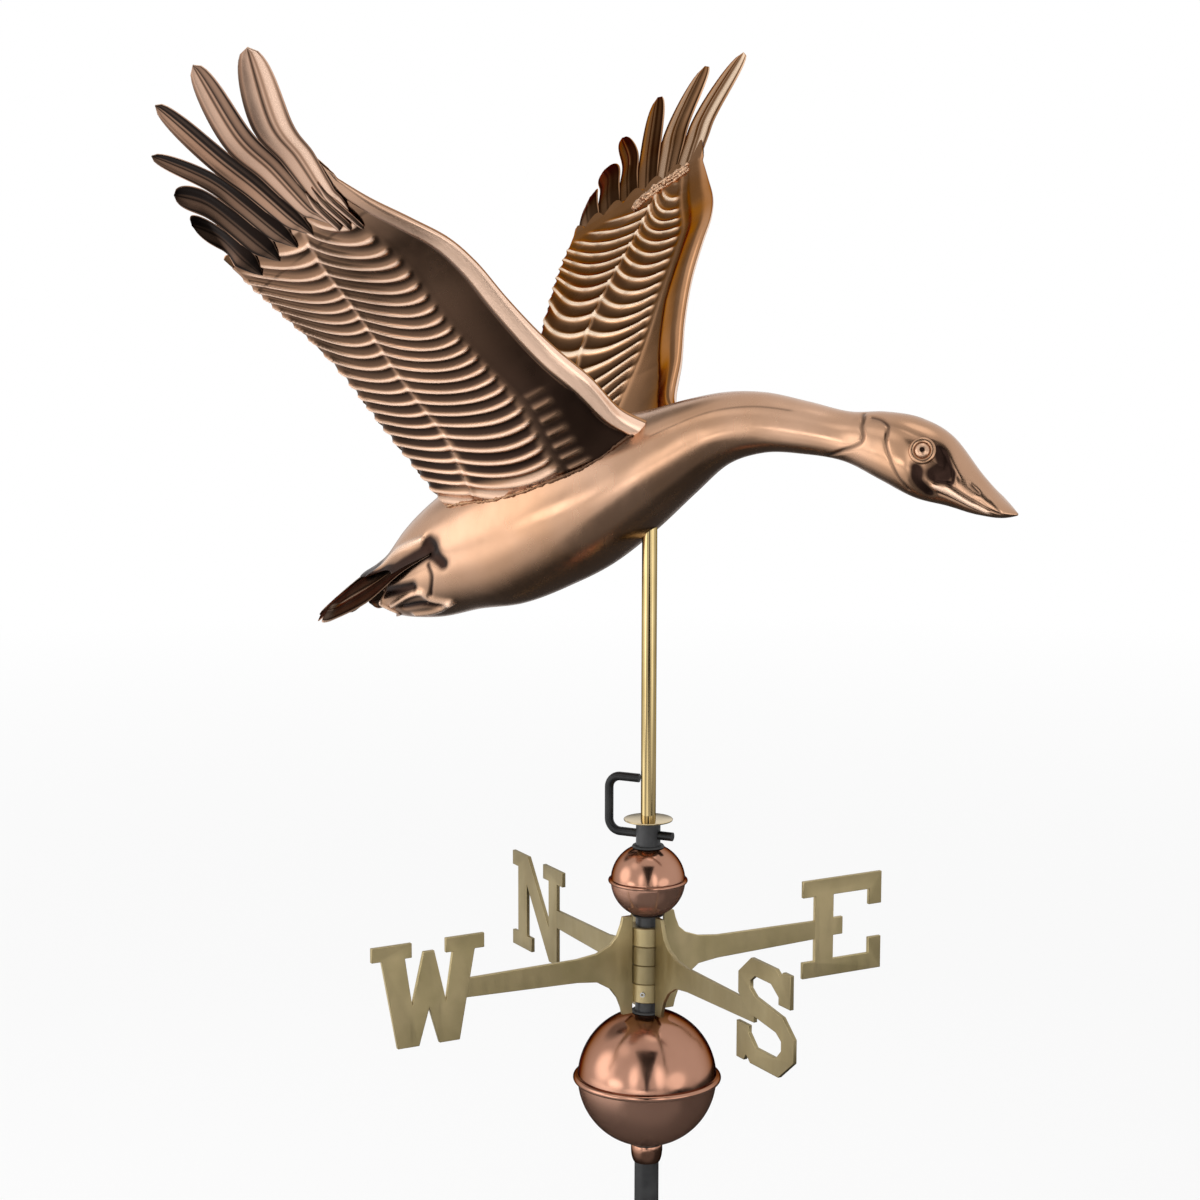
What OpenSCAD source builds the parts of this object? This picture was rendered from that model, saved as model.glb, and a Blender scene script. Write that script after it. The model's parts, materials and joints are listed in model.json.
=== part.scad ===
// Weather vane: a flying goose that turns on a rod above two globes and compass arms.
// Millimetres, +Z up, origin at the centre of the rod's lower end, beak towards +X.

/* [Rod and collar] */
// Rod diameter
rod_d = 24; // [20:0.5:30]
// Bare rod below the stop collar, for the roof socket
rod_stub = 243.5; // [150:0.5:400]
// Stop collar height
collar_h = 18; // [12:1:30]
// Stop collar wall at its wide upper end
collar_wall = 3.6; // [2:0.1:8]
// Bare rod between the small globe and the rod's top
rod_neck = 25; // [22:1:60]

/* [Globes] */
// Large globe diameter
large_ball_d = 137; // [90:1:180]
// Small globe diameter
small_ball_d = 73; // [54:1:90]
// Sheet thickness of the globes
ball_wall = 1.2; // [0.6:0.1:2]
// Large globe's equator bead, how far it stands out
large_bead = 4.6; // [3:0.1:10]
// Small globe's equator bead, how far it stands out
small_bead = 2.4; // [1.6:0.1:6]
// Rubber grommet wall between rod and globe
grommet_wall = 2; // [1:0.5:4]

/* [Compass arms] */
// Height of one ring knuckle
ring_h = 18.7; // [12:0.1:26]
// Ring knuckle wall
ring_wall = 5.4; // [3:0.1:9]
// Bare rod between the large globe and the rings
hub_gap = 12.3; // [10:0.1:30]
// Bare rod between the rings and the small globe
neck_gap = 11.4; // [10:0.1:25]
// Plate thickness of arms and letters
plate_t = 4; // [2:0.5:6]
// Letter height
letter_h = 101.6; // [70:0.1:130]
// Radius where the letters start
letter_r = 180; // [130:1:240]
// Height of the flared flange beside the rings
flange_h = 99; // [84:1:101]
// Height of the arm at the letter
bar_h = 18.6; // [12:0.2:26]
// Heading of the east arm, from the beak's direction
east_heading = 59; // [0:1:89]

/* [Hook and disc] */
// Hook rod diameter
hook_d = 8.6; // [6:0.1:11]
// Hook leg distance from the rod's axis
hook_reach = 42; // [32:1:60]
// Height between the hook's two arms
hook_rise = 55; // [40:1:80]
// Bend radius of the hook
hook_bend = 12; // [10:0.5:18]
// Hook heading, from the beak's direction
hook_heading = 5; // [0:1:20]
// Disc diameter
disc_d = 48; // [36:1:60]
// Disc thickness
disc_t = 1.8; // [1:0.1:4]

/* [Swivel] */
// Outside diameter of the swivel tube
tube_d = 14.6; // [13:0.1:18]
// Wall of the swivel tube
tube_wall = 1.3; // [1:0.1:2]
// Diameter of the spindle turned on the rod's top
spindle_d = 10; // [8:0.1:10]
// Height from the disc to the figure's belly
tube_show = 282.5; // [180:0.5:400]
// Thrust ball diameter
thrust_d = 8; // [5:0.5:9]
// Running clearance of turning fits, radial
fit_run = 0.05; // [0.03:0.01:0.09]

/* [Figure] */
// Length from the beak's tip to the tail's tip
figure_length = 762; // [640:1:900]
// Wing span from tip to tip
wing_span = 910; // [780:1:1050]
// Sheet thickness of the body
body_wall = 1.2; // [0.8:0.1:2]
// Sheet thickness of the wings
wing_wall = 0.8; // [0.6:0.1:1.2]
// Height of the rolled leading edge, half of it
edge_half = 7; // [4:0.5:9]
// Height of the feather ribs
rib_h = 1.6; // [0.5:0.1:2.5]
// Width of the body as a share of the drawn one
body_girth = 1; // [0.8:0.01:1.2]
// Eye dome radius
eye_r = 7; // [5:0.5:9]

/* [Hidden] */
$fn = 48;
// the figure's tables are drawn 762 long and 910 across
long_k = figure_length / 762;
span_k = wing_span / 910;
solder = 0.2;
snug = 0.1;
rod_r = rod_d / 2;
relief_h = 8;
relief_d = 0.8;

// stack of heights along the rod
collar_top = rod_stub + collar_h;
hole_r = rod_r + grommet_wall;
large_r = large_ball_d / 2;
small_r = small_ball_d / 2;
lip_t = 1.6;
large_half = sqrt(large_r * large_r - hole_r * hole_r);
small_half = sqrt(small_r * small_r - hole_r * hole_r);
large_z = collar_top + lip_t + solder + large_half;
hub_z = large_z + large_half + hub_gap;
hub_h = 4 * ring_h + 3 * solder;
hub_mid = hub_z + hub_h / 2;
small_z = hub_z + hub_h + neck_gap + small_half;
rod_top = small_z + small_half + rod_neck;
hook_z = rod_top - hook_d / 2 - 8.5;

// compass
ring_bore = rod_r + fit_run;
ring_r = ring_bore + ring_wall;
flange_r = ring_r + 0.4;
screw_d = 5;

// swivel
disc_z = rod_top + 1.2;
belly_z = disc_z + disc_t + tube_show;
figure_z = belly_z + 26 * long_k;
lift_z = [0, 0, figure_z];
bore_r = tube_d / 2 - tube_wall;
spin_r = spindle_d / 2;
tube_top = belly_z + 78 * long_k;
plug_h = 26;
seat_z = tube_top - plug_h - thrust_d * 0.2;
bush_h = 24;
low_plate_z = belly_z + 20 * long_k;
high_plate_z = belly_z + 66 * long_k;
plate_wall = 2;

// body outline: x, top, belly and half width at each station, about figure_z
body_rows = [
    [-290, -62, -131, 34],
    [-266, -33, -132, 46],
    [-235, -8, -130, 55],
    [-190, 21, -118, 63],
    [-140, 47, -108, 69],
    [-90, 67, -87, 71],
    [-45, 81, -63, 68],
    [0, 91, -28, 61],
    [40, 103, 8, 50],
    [80, 112, 42, 38],
    [120, 114, 57, 30],
    [165, 108, 59, 25],
    [210, 101, 54, 23],
    [245, 103, 40, 28],
    [280, 99, 26, 31],
    [310, 85, 21, 24],
    [340, 52, 15, 17],
    [370, 24, 15, 9],
    [377, 19, 17, 1.2]
];
rows_n = len(body_rows) - 1;

// curve through a list of rows at a fractional index
function at(t, i) = t[max(0, min(len(t) - 1, i))];
function curve4(a, b, c, d, k) =
    b + k * (c - a) / 2 + k * k * (a - 2.5 * b + 2 * c - d / 2) + k * k * k * (1.5 * (b - c) + (d - a) / 2);
function curve(t, u) =
    curve4(at(t, floor(u) - 1), at(t, floor(u)), at(t, floor(u) + 1), at(t, floor(u) + 2), u - floor(u));
function mix(a, b, k) = a + (b - a) * k;
function unit(v) = v / norm(v);
function clamp(k) = max(0, min(1, k));

function body_row(u) = curve(body_rows, u) * long_k;
fine_rows = [for (u = [0:0.25:rows_n]) body_row(u)];
top_line = [for (r = fine_rows) [r[0], r[1]]];
low_line = [for (r = fine_rows) [r[0], r[2]]];
side_line = [for (r = fine_rows) [r[0], r[3] * body_girth]];
function mid_z(x) = figure_z + (lookup(x, top_line) + lookup(x, low_line)) / 2;
function half_z(x) = (lookup(x, top_line) - lookup(x, low_line)) / 2;
function half_y(x) = lookup(x, side_line);

// point on the body at x and angle a up from the side, moved out by d
function on_body(x, a, d) = [
    x,
    max(half_y(x) + d, 0.35) * cos(a),
    mid_z(x) + max(half_z(x) + d, 0.35) * sin(a)
];
// inside half width at height z
function inside_y(x, z, d) =
    (half_y(x) - d) * sqrt(max(0.001, 1 - pow((z - mid_z(x)) / (half_z(x) - d), 2)));

// solid sheet between an outer and an inner grid of points
module sheet(outer, inner) {
    ni = len(outer);
    nj = len(outer[0]);
    m = ni * nj;
    polyhedron(
        points = concat([for (r = outer) each r], [for (r = inner) each r]),
        faces = concat(
            [for (i = [0:ni - 2], j = [0:nj - 2]) each quad(i * nj + j, (i + 1) * nj + j, nj, 0)],
            [for (i = [0:ni - 2], j = [0:nj - 2]) each flip(quad(i * nj + j, (i + 1) * nj + j, nj, m))],
            [for (i = [0:ni - 2]) each wall(i * nj, (i + 1) * nj, m)],
            [for (i = [0:ni - 2]) each wall((i + 2) * nj - 1, (i + 1) * nj - 1, m)],
            [for (j = [0:nj - 2]) each wall(j + 1, j, m)],
            [for (j = [0:nj - 2]) each wall((ni - 1) * nj + j, (ni - 1) * nj + j + 1, m)]
        )
    );
}
function quad(a, b, nj, o) = [[a + o, b + o, b + 1 + o], [a + o, b + 1 + o, a + 1 + o]];
function flip(f) = [for (t = f) [t[2], t[1], t[0]]];
function wall(a, b, m) = [[b, a, a + m], [b, a + m, b + m]];

// half of the body shell on the +Y side; the rear edge is cut forward at the sides for the tail
shell_angles = [-90:15:90];
function rear_share(a) = 0.55 + (a > 0 ? 0.45 : 0.63) * sin(a) * sin(a);
rear_from = -190 * long_k;
function rear_x(x, a) = x > rear_from ? x : rear_from + (x - rear_from) * rear_share(a);
function shell_row(u, d) = [
    for (a = shell_angles)
        let (p = on_body(rear_x(body_row(u)[0], a), a, d)) [p[0], max(p[1], 0) + snug / 2, p[2]]
];
module half_shell() {
    difference() {
        sheet(
            [for (u = [0:0.5:rows_n]) shell_row(u, 0)],
            [for (u = [0:0.5:rows_n]) shell_row(u, -body_wall)]
        );
        translate([0, 0, figure_z - 160])
            cylinder(r = tube_d / 2 + snug, h = 160);
    }
}

// wing: leading and trailing edge points, about figure_z, for the +Y side
root_turn = [[0, 50], [0.15, 30], [0.4, 23], [0.7, 26], [1, 41]];
root_front = 15 * long_k;
root_back = -203 * long_k;
lead_rows = [
    [0.1, -8, 62, 95],
    [0.22, -22, 100, 129],
    [0.35, -37, 134, 165],
    [0.5, -52, 178, 207],
    [0.62, -60, 215, 240],
    [0.72, -68, 247, 262],
    [0.82, -84, 281, 280],
    [0.92, -107, 313, 299],
    [1, -125, 335, 316]
];
trail_rows = [
    [0.3, -219, 120, 67],
    [0.63, -238, 202, 152],
    [0.81, -252, 249, 191],
    [1, -264, 303, 232]
];
wing_up = unit([-0.25, -0.71, 0.65]);
wing_bow = 36 * long_k;
function wing_point(p) = [p[0] * long_k, p[1] * span_k, p[2] * span_k] + lift_z;
function root_x(t) = mix(root_front, root_back, t);
function root_point(t, o) =
    let (x = root_x(t), a = lookup(t, root_turn), r = norm([half_y(x) * sin(a), half_z(x) * cos(a)]))
        on_body(x, a + o / r * 180 / PI, solder);
function root_way(t) =
    let (x = root_x(t), a = lookup(t, root_turn)) unit([0, -half_y(x) * sin(a), half_z(x) * cos(a)]);
function edge_point(rows, start, s) =
    let (all = concat([[0, start]], [for (r = rows) [r[0], wing_point([r[1], r[2], r[3]])]]))
        [for (k = [0:2]) lookup(s, [for (r = all) [r[0], r[1][k]]])];
function lead(s) = edge_point(lead_rows, root_point(0, 0), s);
function trail(s) = edge_point(trail_rows, root_point(1, 0), s);
function wing_mid(s, t) =
    mix(lead(s), trail(s), t)
    + pow(1 - s, 2) * (root_point(t, 0) - mix(root_point(0, 0), root_point(1, 0), t))
    + wing_up * wing_bow * t * (1 - t) * clamp(4 * s) * (1 - 0.7 * s);

// hollow between the mid surface and a skin
panel_t = [
    [0, 0],
    [0.03, 0.8],
    [0.07, 1],
    [0.12, 0.75],
    [0.18, 0.3],
    [0.3, 0.25],
    [0.93, 0.2],
    [1, 0]
];
rib_t = [
    [0.28, 0],
    [0.33, 1],
    [0.58, 1],
    [0.62, 0.2],
    [0.66, 1],
    [0.97, 1],
    [1, 0.4]
];
// how far each rib leans towards the wrist
bow_t = [
    [0.3, 0],
    [0.49, 0.04],
    [0.62, 0.1],
    [0.8, 0.11],
    [1, 0.17]
];
// share of the chord where the ribs start and where their two rows meet, from the root to the wrist
start_s = [[0, 0.32], [0.25, 0.27], [0.66, 0.28], [0.82, 0.21], [1, 0.12]];
meet_s = [[0, 0.78], [0.2, 0.73], [0.5, 0.72], [0.7, 0.67], [0.85, 0.58], [1, 0.4]];
function chord_t(s, t) =
    let (start = lookup(s, start_s))
        lookup(t, [[0, 0], [0.12, 0.4 * start], [0.3, start], [0.62, lookup(s, meet_s)], [1, 1]]);
primary_half = 0.8;
function skin_gap(s, t) =
    max(
        edge_half * (1 - 0.5 * s) * lookup(t, panel_t),
        s > 0.9 && t > 0.01 && t < 0.99 ? primary_half + snug : 0
    ) + snug / 2;

wing_cols = [0, 0.03, 0.07, 0.12, 0.2, 0.3, 0.36, 0.47, 0.58, 0.62, 0.67, 0.8, 0.93, 1];
wing_steps = 42;
function skin_point(i, t, d, side) =
    let (
        s0 = i / wing_steps,
        s = s0 + lookup(t, bow_t) * 4 * s0 * (1 - s0),
        c = chord_t(s, t),
        crest = i % 2 == 1 ? rib_h * lookup(t, rib_t) : 0,
        o = side * (skin_gap(s, t) + d + crest),
        k = clamp(s / 0.1),
        scallop = t == 1 && i % 2 == 1 ? 2 : 0
    )
        i == 0 ? root_point(c, o)
        : wing_mid(s, c) + o * unit(mix(root_way(c), wing_up, k))
            + scallop * unit(trail(s) - lead(s));
function skin_grid(d, side) = [for (i = [0:wing_steps]) [for (t = wing_cols) skin_point(i, t, d, side)]];
module wing_skin(side) {
    if (side > 0)
        sheet(skin_grid(wing_wall, 1), skin_grid(0, 1));
    else
        sheet(skin_grid(0, -1), skin_grid(wing_wall, -1));
}

// comb of feathers: rows of shared edge points, then one tip for each feather
feather_steps = [[0, 1], [0.3, 0.96], [0.62, 0.84], [0.88, 0.56], [0.99, 0.2]];
function comb_row(edges) = [
    for (k = [0:2 * len(edges) - 2])
        k % 2 == 0 ? edges[k / 2] : (edges[floor(k / 2)] + edges[floor(k / 2) + 1]) / 2
];
function feather_row(a, b, tip, f) =
    let (c = mix((a + b) / 2, tip, f[0])) [c + (a - b) / 2 * f[1], c, c + (b - a) / 2 * f[1]];
module comb(rows, tips, up, half, ridge) {
    nf = len(tips);
    nc = 2 * nf + 1;
    nr = len(rows);
    ns = len(feather_steps);
    edges = rows[nr - 1];
    base = [for (r = rows) each comb_row(r)];
    far = [
        for (k = [0:nf - 1], q = [1:ns - 1])
            each feather_row(edges[k], edges[k + 1], tips[k], feather_steps[q])
    ];
    mids = concat(
        [for (r = [0:nr - 1], c = [0:nc - 1]) c % 2 == 1 && r > 1 ? ridge : 0],
        [for (k = [0:nf - 1], q = [1:ns - 1], c = [0:2]) c == 1 ? ridge * (1 - q / ns) : 0]
    );
    pts = concat(base, far);
    m = len(pts);
    function far_at(k, q, c) =
        q == 0 ? (nr - 1) * nc + 2 * k + c : nr * nc + (k * (ns - 1) + q - 1) * 3 + c;
    polyhedron(
        points = concat(
            [for (i = [0:m - 1]) pts[i] + up * (half + mids[i])],
            [for (i = [0:m - 1]) pts[i] - up * (half + mids[i] * 0.4)]
        ),
        faces = concat(
            [for (r = [0:nr - 2], c = [0:nc - 2]) each quad(r * nc + c, (r + 1) * nc + c, nc, 0)],
            [for (r = [0:nr - 2], c = [0:nc - 2]) each flip(quad(r * nc + c, (r + 1) * nc + c, nc, m))],
            [for (c = [0:nc - 2]) each wall(c + 1, c, m)],
            [for (r = [0:nr - 2]) each wall(r * nc, (r + 1) * nc, m)],
            [for (r = [0:nr - 2]) each wall((r + 2) * nc - 1, (r + 1) * nc - 1, m)],
            [
                for (k = [0:nf - 1], q = [0:ns - 2], c = [0:1])
                    each face4(far_at(k, q, c), far_at(k, q + 1, c), far_at(k, q + 1, c + 1), far_at(k, q, c + 1), 0)
            ],
            [
                for (k = [0:nf - 1], q = [0:ns - 2], c = [0:1])
                    each flip(face4(
                        far_at(k, q, c), far_at(k, q + 1, c), far_at(k, q + 1, c + 1), far_at(k, q, c + 1), m
                    ))
            ],
            [for (k = [0:nf - 1], q = [0:ns - 2]) each wall(far_at(k, q, 0), far_at(k, q + 1, 0), m)],
            [for (k = [0:nf - 1], q = [0:ns - 2]) each wall(far_at(k, q + 1, 2), far_at(k, q, 2), m)],
            [for (k = [0:nf - 1], c = [0:1]) each wall(far_at(k, ns - 1, c), far_at(k, ns - 1, c + 1), m)]
        )
    );
}
function face4(a, b, c, d, o) = [[a + o, b + o, c + o], [a + o, c + o, d + o]];

hand_v = [0.05, 0.22, 0.36, 0.5, 0.64, 0.8, 0.95];
hand_split = [
    [-133, 387, 368],
    [-171, 399, 362],
    [-204, 393, 343],
    [-226, 380, 321],
    [-243, 371, 305],
    [-258, 350, 278],
    [-263, 318, 246]
];
hand_tips = [
    [-136, 447, 428],
    [-187, 455, 413],
    [-238, 442, 379],
    [-266, 413, 335],
    [-269, 379, 300],
    [-270, 353, 272]
];
module primaries() {
    comb(
        [
            [for (v = hand_v) wing_mid(0.96, v)],
            [for (v = hand_v) wing_mid(1, v)],
            [for (k = [0:6]) mix(wing_mid(1, hand_v[k]), wing_point(hand_split[k]), 0.5)],
            [for (p = hand_split) wing_point(p)]
        ],
        [for (p = hand_tips) wing_point(p)],
        wing_up,
        primary_half - 0.1,
        1.2
    );
}

// tail: a ridge in the middle falling to both sides; x, ridge height, half width and fall of each row
tail_y = [-1, -0.62, -0.22, 0.22, 0.62, 1];
tail_rows = [
    [-215, -26, 52, 30],
    [-252, -44, 50, 34],
    [-294, -65, 48, 45],
    [-338, -89, 46, 44]
];
tail_tips = [
    [-354, 42, -146],
    [-373, 24, -145],
    [-385, 0, -144],
    [-373, -24, -145],
    [-354, -42, -146]
];
tail_start = tail_rows[0] * long_k;
tail_seat = inside_y(tail_start[0], figure_z + tail_start[1] - tail_start[3], body_wall + solder) - 0.5;
function tail_edge(r, half) = [
    for (y = tail_y) [r[0], -y * half, figure_z + r[1] - r[3] * abs(y)]
];
module tail_fan() {
    color([0.45, 0.28, 0.2])
        comb(
            [
                tail_edge(tail_start, tail_seat),
                for (k = [1:3])
                    tail_edge(tail_rows[k] * long_k, tail_rows[k][2] * long_k)
            ],
            [for (p = tail_tips) p * long_k + lift_z],
            [0.35, 0, 0.94],
            0.9,
            1.4
        );
}

copper = [0.72, 0.45, 0.33];
brass = [0.66, 0.56, 0.36];
black = [0.12, 0.12, 0.13];

module ring_of(r1, r0, h) {
    difference() {
        cylinder(r = r1, h = h);
        translate([0, 0, -1])
            cylinder(r = r0, h = h + 2);
    }
}

module main_rod() {
    color(black)
        difference() {
            union() {
                cylinder(r = rod_r, h = rod_top);
                cylinder(r = spin_r, h = seat_z - thrust_d * 0.3);
            }
            translate([0, 0, rod_stub])
                ring_of(rod_r + 1, rod_r - relief_d, relief_h);
            translate([0, 0, seat_z])
                sphere(r = thrust_d / 2 + fit_run);
            translate([0, 0, hook_z])
                rotate([0, 0, hook_heading])
                    rotate([0, 90, 0])
                        cylinder(r = hook_d / 2 + fit_run, h = 2 * rod_d, center = true);
        }
}

module stop_collar() {
    color(copper)
        difference() {
            translate([0, 0, rod_stub])
                rotate_extrude()
                    polygon([
                        [rod_r + snug, 0],
                        [rod_r + 1, 0],
                        [rod_r + collar_wall * 0.7, collar_h * 0.25],
                        [rod_r + collar_wall, collar_h * 0.6],
                        [rod_r + collar_wall, collar_h],
                        [rod_r + snug, collar_h]
                    ]);
            collar_screw_place()
                cylinder(r = screw_d / 2 + snug, h = 40);
        }
}

module collar_screw_place() {
    translate([0, 0, rod_stub + relief_h / 2 + 1])
        rotate([0, 0, 120])
            rotate([0, 90, 0])
                children();
}

module stop_collar_screw() {
    color(black)
        collar_screw_place()
            translate([0, 0, rod_r - relief_d + snug])
                set_screw(collar_wall + relief_d + 1);
}

module set_screw(length) {
    difference() {
        cylinder(r = screw_d / 2, h = length);
        translate([0, 0, length - 2])
            cylinder(r = 1.4, h = 3, $fn = 6);
    }
}

module hemisphere(r, bead) {
    rotate_extrude() {
        difference() {
            circle(r = r);
            circle(r = r - ball_wall);
            translate([-2 * r, -r - 1])
                square([2 * r + hole_r, 2 * r + 2]);
            translate([0, -r - 1])
                square([r + 1, r + 1 + snug / 2]);
        }
        difference() {
            translate([r - ball_wall / 2 + (bead - 2) / 2, 0])
                square([bead, 4], center = true);
            translate([0, -4])
                square([r + bead + 5, 4 + snug / 2]);
            circle(r = r - ball_wall / 2);
        }
        difference() {
            translate([r + bead - bead_r(bead), 0])
                circle(r = bead_r(bead));
            translate([0, -4])
                square([r + bead + 5, 4 + snug / 2]);
        }
    }
}
function bead_r(bead) = bead * 0.6 + 0.4;

module large_ball_upper() {
    color(copper)
        translate([0, 0, large_z])
            hemisphere(large_r, large_bead);
}

module large_ball_lower() {
    color(copper)
        translate([0, 0, large_z])
            mirror([0, 0, 1])
                hemisphere(large_r, large_bead);
}

module small_ball_upper() {
    color(copper)
        translate([0, 0, small_z])
            hemisphere(small_r, small_bead);
}

module small_ball_lower() {
    color(copper)
        translate([0, 0, small_z])
            mirror([0, 0, 1])
                hemisphere(small_r, small_bead);
}

module grommet() {
    rotate_extrude()
        polygon([
            [rod_r + 0.02, -4],
            [hole_r - snug, -4],
            [hole_r - snug, snug],
            [hole_r + 2, snug],
            [hole_r + 1, lip_t],
            [rod_r + 0.02, lip_t]
        ]);
}

module grommet_pair(z, half) {
    translate([0, 0, z + half])
        grommet();
    translate([0, 0, z - half])
        mirror([0, 0, 1])
            grommet();
}

module large_ball_grommets() {
    color(black)
        grommet_pair(large_z, large_half);
}

module small_ball_grommets() {
    color(black)
        grommet_pair(small_z, small_half);
}

// letter outlines in hundredths of the letter height, left edge first
letter_e = [
    [0, 0], [93, 0], [93, 33], [78, 33], [78, 17], [36, 17], [36, 41], [47, 41], [47, 59], [36, 59],
    [36, 83], [78, 83], [78, 67], [93, 67], [93, 100], [0, 100], [0, 83], [14, 83],
    [14, 17], [0, 17]
];
letter_n = [
    [0, 100], [34, 100], [79, 36], [79, 85], [67, 85], [67, 100], [109, 100], [109, 85], [97, 85], [97, 0], [80, 0],
    [31, 70], [31, 15], [42, 15], [42, 0], [0, 0], [0, 15], [12, 15], [12, 85], [0, 85]
];
letter_w = [
    [0, 100], [41, 100], [41, 86], [34, 86], [41, 40], [53, 90], [64, 90], [76, 40], [83, 86], [76, 86], [76, 100],
    [116, 100], [116, 86], [106, 86], [90, 0], [69, 0], [58.5, 35], [48, 0], [26, 0], [10, 86], [0, 86]
];
letter_s = [
    [0, 0], [13, 0], [17, 6], [24, 0], [72, 0], [97, 20], [97, 42], [78, 58], [32, 65], [23, 71], [23, 78], [31, 84],
    [58, 84], [71, 75], [71, 68], [91, 68], [91, 100], [78, 100], [73, 95], [66, 100], [24, 100], [2, 82], [2, 62],
    [21, 47], [67, 41], [76, 35], [76, 26], [67, 17], [33, 17], [21, 28], [21, 35], [0, 35]
];

// reach, shift and rise of the letter are in hundredths of its height too
module arm(level, heading, outline, from_left, reach, shift, rise) {
    k = letter_h / 100;
    wide = max([for (p = outline) p[0]]);
    z0 = hub_z + level * (ring_h + solder);
    rotate([0, 0, heading])
        difference() {
            union() {
                translate([0, 0, z0])
                    cylinder(r = ring_r, h = ring_h);
                translate([ring_bore + 1, -plate_t / 2, z0])
                    cube([flange_r - ring_bore, plate_t, ring_h]);
                translate([0, 0, hub_mid])
                    rotate([90, 0, 0])
                        linear_extrude(height = plate_t, center = true)
                            arm_outline((reach + shift) * k, rise * k);
                translate([0, 0, hub_mid - letter_h / 2 + (2 + rise) * k])
                    rotate([90, 0, 0])
                        linear_extrude(height = plate_t, center = true)
                            polygon([
                                for (p = outline)
                                    [letter_r + (shift + (from_left ? p[0] : wide - p[0])) * k, p[1] * k]
                            ]);
            }
            translate([0, 0, z0 - 1])
                cylinder(r = ring_bore, h = ring_h + 2);
            translate([0, 0, z0 + ring_h / 2])
                rotate([0, 0, 45])
                    rotate([0, 90, 0])
                        cylinder(r = screw_d / 2 + snug, h = 40);
        }
}

module arm_outline(reach, rise) {
    f = flange_h / 2;
    b = bar_h / 2;
    w = flange_h / 100;
    polygon([
        [flange_r, f],
        [flange_r + 11 * w, f],
        [flange_r + 13 * w, f * 0.84],
        [flange_r + 17 * w, f * 0.64],
        [flange_r + 25 * w, f * 0.45 + rise / 2],
        [flange_r + 40 * w, b * 1.54 + rise],
        [flange_r + 62 * w, b * 1.26 + rise],
        [letter_r + reach, b + rise + 1],
        [letter_r + reach, -b + rise + 1],
        [flange_r + 62 * w, -b * 1.26 + rise],
        [flange_r + 40 * w, -b * 1.54 + rise],
        [flange_r + 25 * w, -f * 0.45 + rise / 2],
        [flange_r + 17 * w, -f * 0.64],
        [flange_r + 13 * w, -f * 0.84],
        [flange_r + 11 * w, -f],
        [flange_r, -f]
    ]);
}

module arm_west() {
    color(brass)
        arm(0, east_heading + 180, letter_w, false, 26, 0, 1.8);
}

module arm_south() {
    color(brass)
        arm(1, east_heading + 270, letter_s, true, 30, -9.5, 2);
}

module arm_north() {
    color(brass)
        arm(2, east_heading + 90, letter_n, false, 20, -7, -3.5);
}

module arm_east() {
    color(brass)
        arm(3, east_heading, letter_e, true, 24, -0.5, 5);
}

module arm_screws() {
    headings = [180, 270, 90, 0];
    color(black)
        for (k = [0:3])
            translate([0, 0, hub_z + k * (ring_h + solder) + ring_h / 2])
                rotate([0, 0, east_heading + headings[k] + 45])
                    rotate([0, 90, 0])
                        translate([0, 0, rod_r + solder])
                            set_screw(ring_wall + 1.5);
}

module hook() {
    r = hook_d / 2;
    lower_end = rod_r + 14;
    tip = tube_d / 2 + 2.6;
    color(black)
        translate([0, 0, hook_z])
            rotate([0, 0, hook_heading])
                union() {
                    translate([-hook_reach + hook_bend, 0, 0])
                        rotate([0, 90, 0])
                            cylinder(r = r, h = hook_reach - hook_bend + lower_end);
                    translate([-hook_reach + hook_bend, 0, hook_bend])
                        rotate([90, 0, 0])
                            rotate([0, 0, 180])
                                rotate_extrude(angle = 90)
                                    translate([hook_bend, 0])
                                        circle(r = r);
                    translate([-hook_reach, 0, hook_bend])
                        cylinder(r = r, h = hook_rise - 2 * hook_bend);
                    translate([-hook_reach + hook_bend, 0, hook_rise - hook_bend])
                        rotate([90, 0, 0])
                            rotate([0, 0, 90])
                                rotate_extrude(angle = 90)
                                    translate([hook_bend, 0])
                                        circle(r = r);
                    translate([-hook_reach + hook_bend, 0, hook_rise])
                        rotate([0, 90, 0])
                            cylinder(r = r, h = hook_reach - hook_bend - tip);
                }
}

module thrust_ball() {
    color([0.75, 0.75, 0.77])
        translate([0, 0, seat_z])
            sphere(r = thrust_d / 2);
}

module bearing_plug() {
    color(brass)
        difference() {
            translate([0, 0, tube_top - plug_h])
                cylinder(r = bore_r - 0.02, h = plug_h);
            translate([0, 0, seat_z])
                sphere(r = thrust_d / 2 + fit_run);
        }
}

module tube_bush() {
    color(brass)
        translate([0, 0, disc_z + 0.5])
            ring_of(bore_r - 0.02, spin_r + fit_run, bush_h);
}

module swivel_tube() {
    color(brass)
        translate([0, 0, disc_z])
            ring_of(tube_d / 2, bore_r, tube_top - disc_z);
}

module lift_disc() {
    color(brass)
        translate([0, 0, disc_z])
            ring_of(disc_d / 2, tube_d / 2 + 0.05, disc_t);
}

// plate across the inside of the body, cut to the shell's inner shape
module tube_plate(z, x0, x1) {
    d = body_wall + solder;
    xs = [for (k = [0:10]) mix(x0, x1, k / 10)];
    function y_at(x) = min(inside_y(x, z, d), inside_y(x, z + plate_wall, d)) - snug;
    difference() {
        translate([0, 0, z])
            linear_extrude(height = plate_wall)
                polygon(concat(
                    [for (x = xs) [x, -y_at(x)]],
                    [for (k = [10:-1:0]) [xs[k], y_at(xs[k])]]
                ));
        translate([0, 0, z - 1])
            cylinder(r = tube_d / 2 + 0.05, h = plate_wall + 2);
    }
}

module lower_plate() {
    color(brass)
        tube_plate(low_plate_z, -46 * long_k, 16 * long_k);
}

module upper_plate() {
    color(brass)
        tube_plate(high_plate_z, -46 * long_k, 40 * long_k);
}

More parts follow.
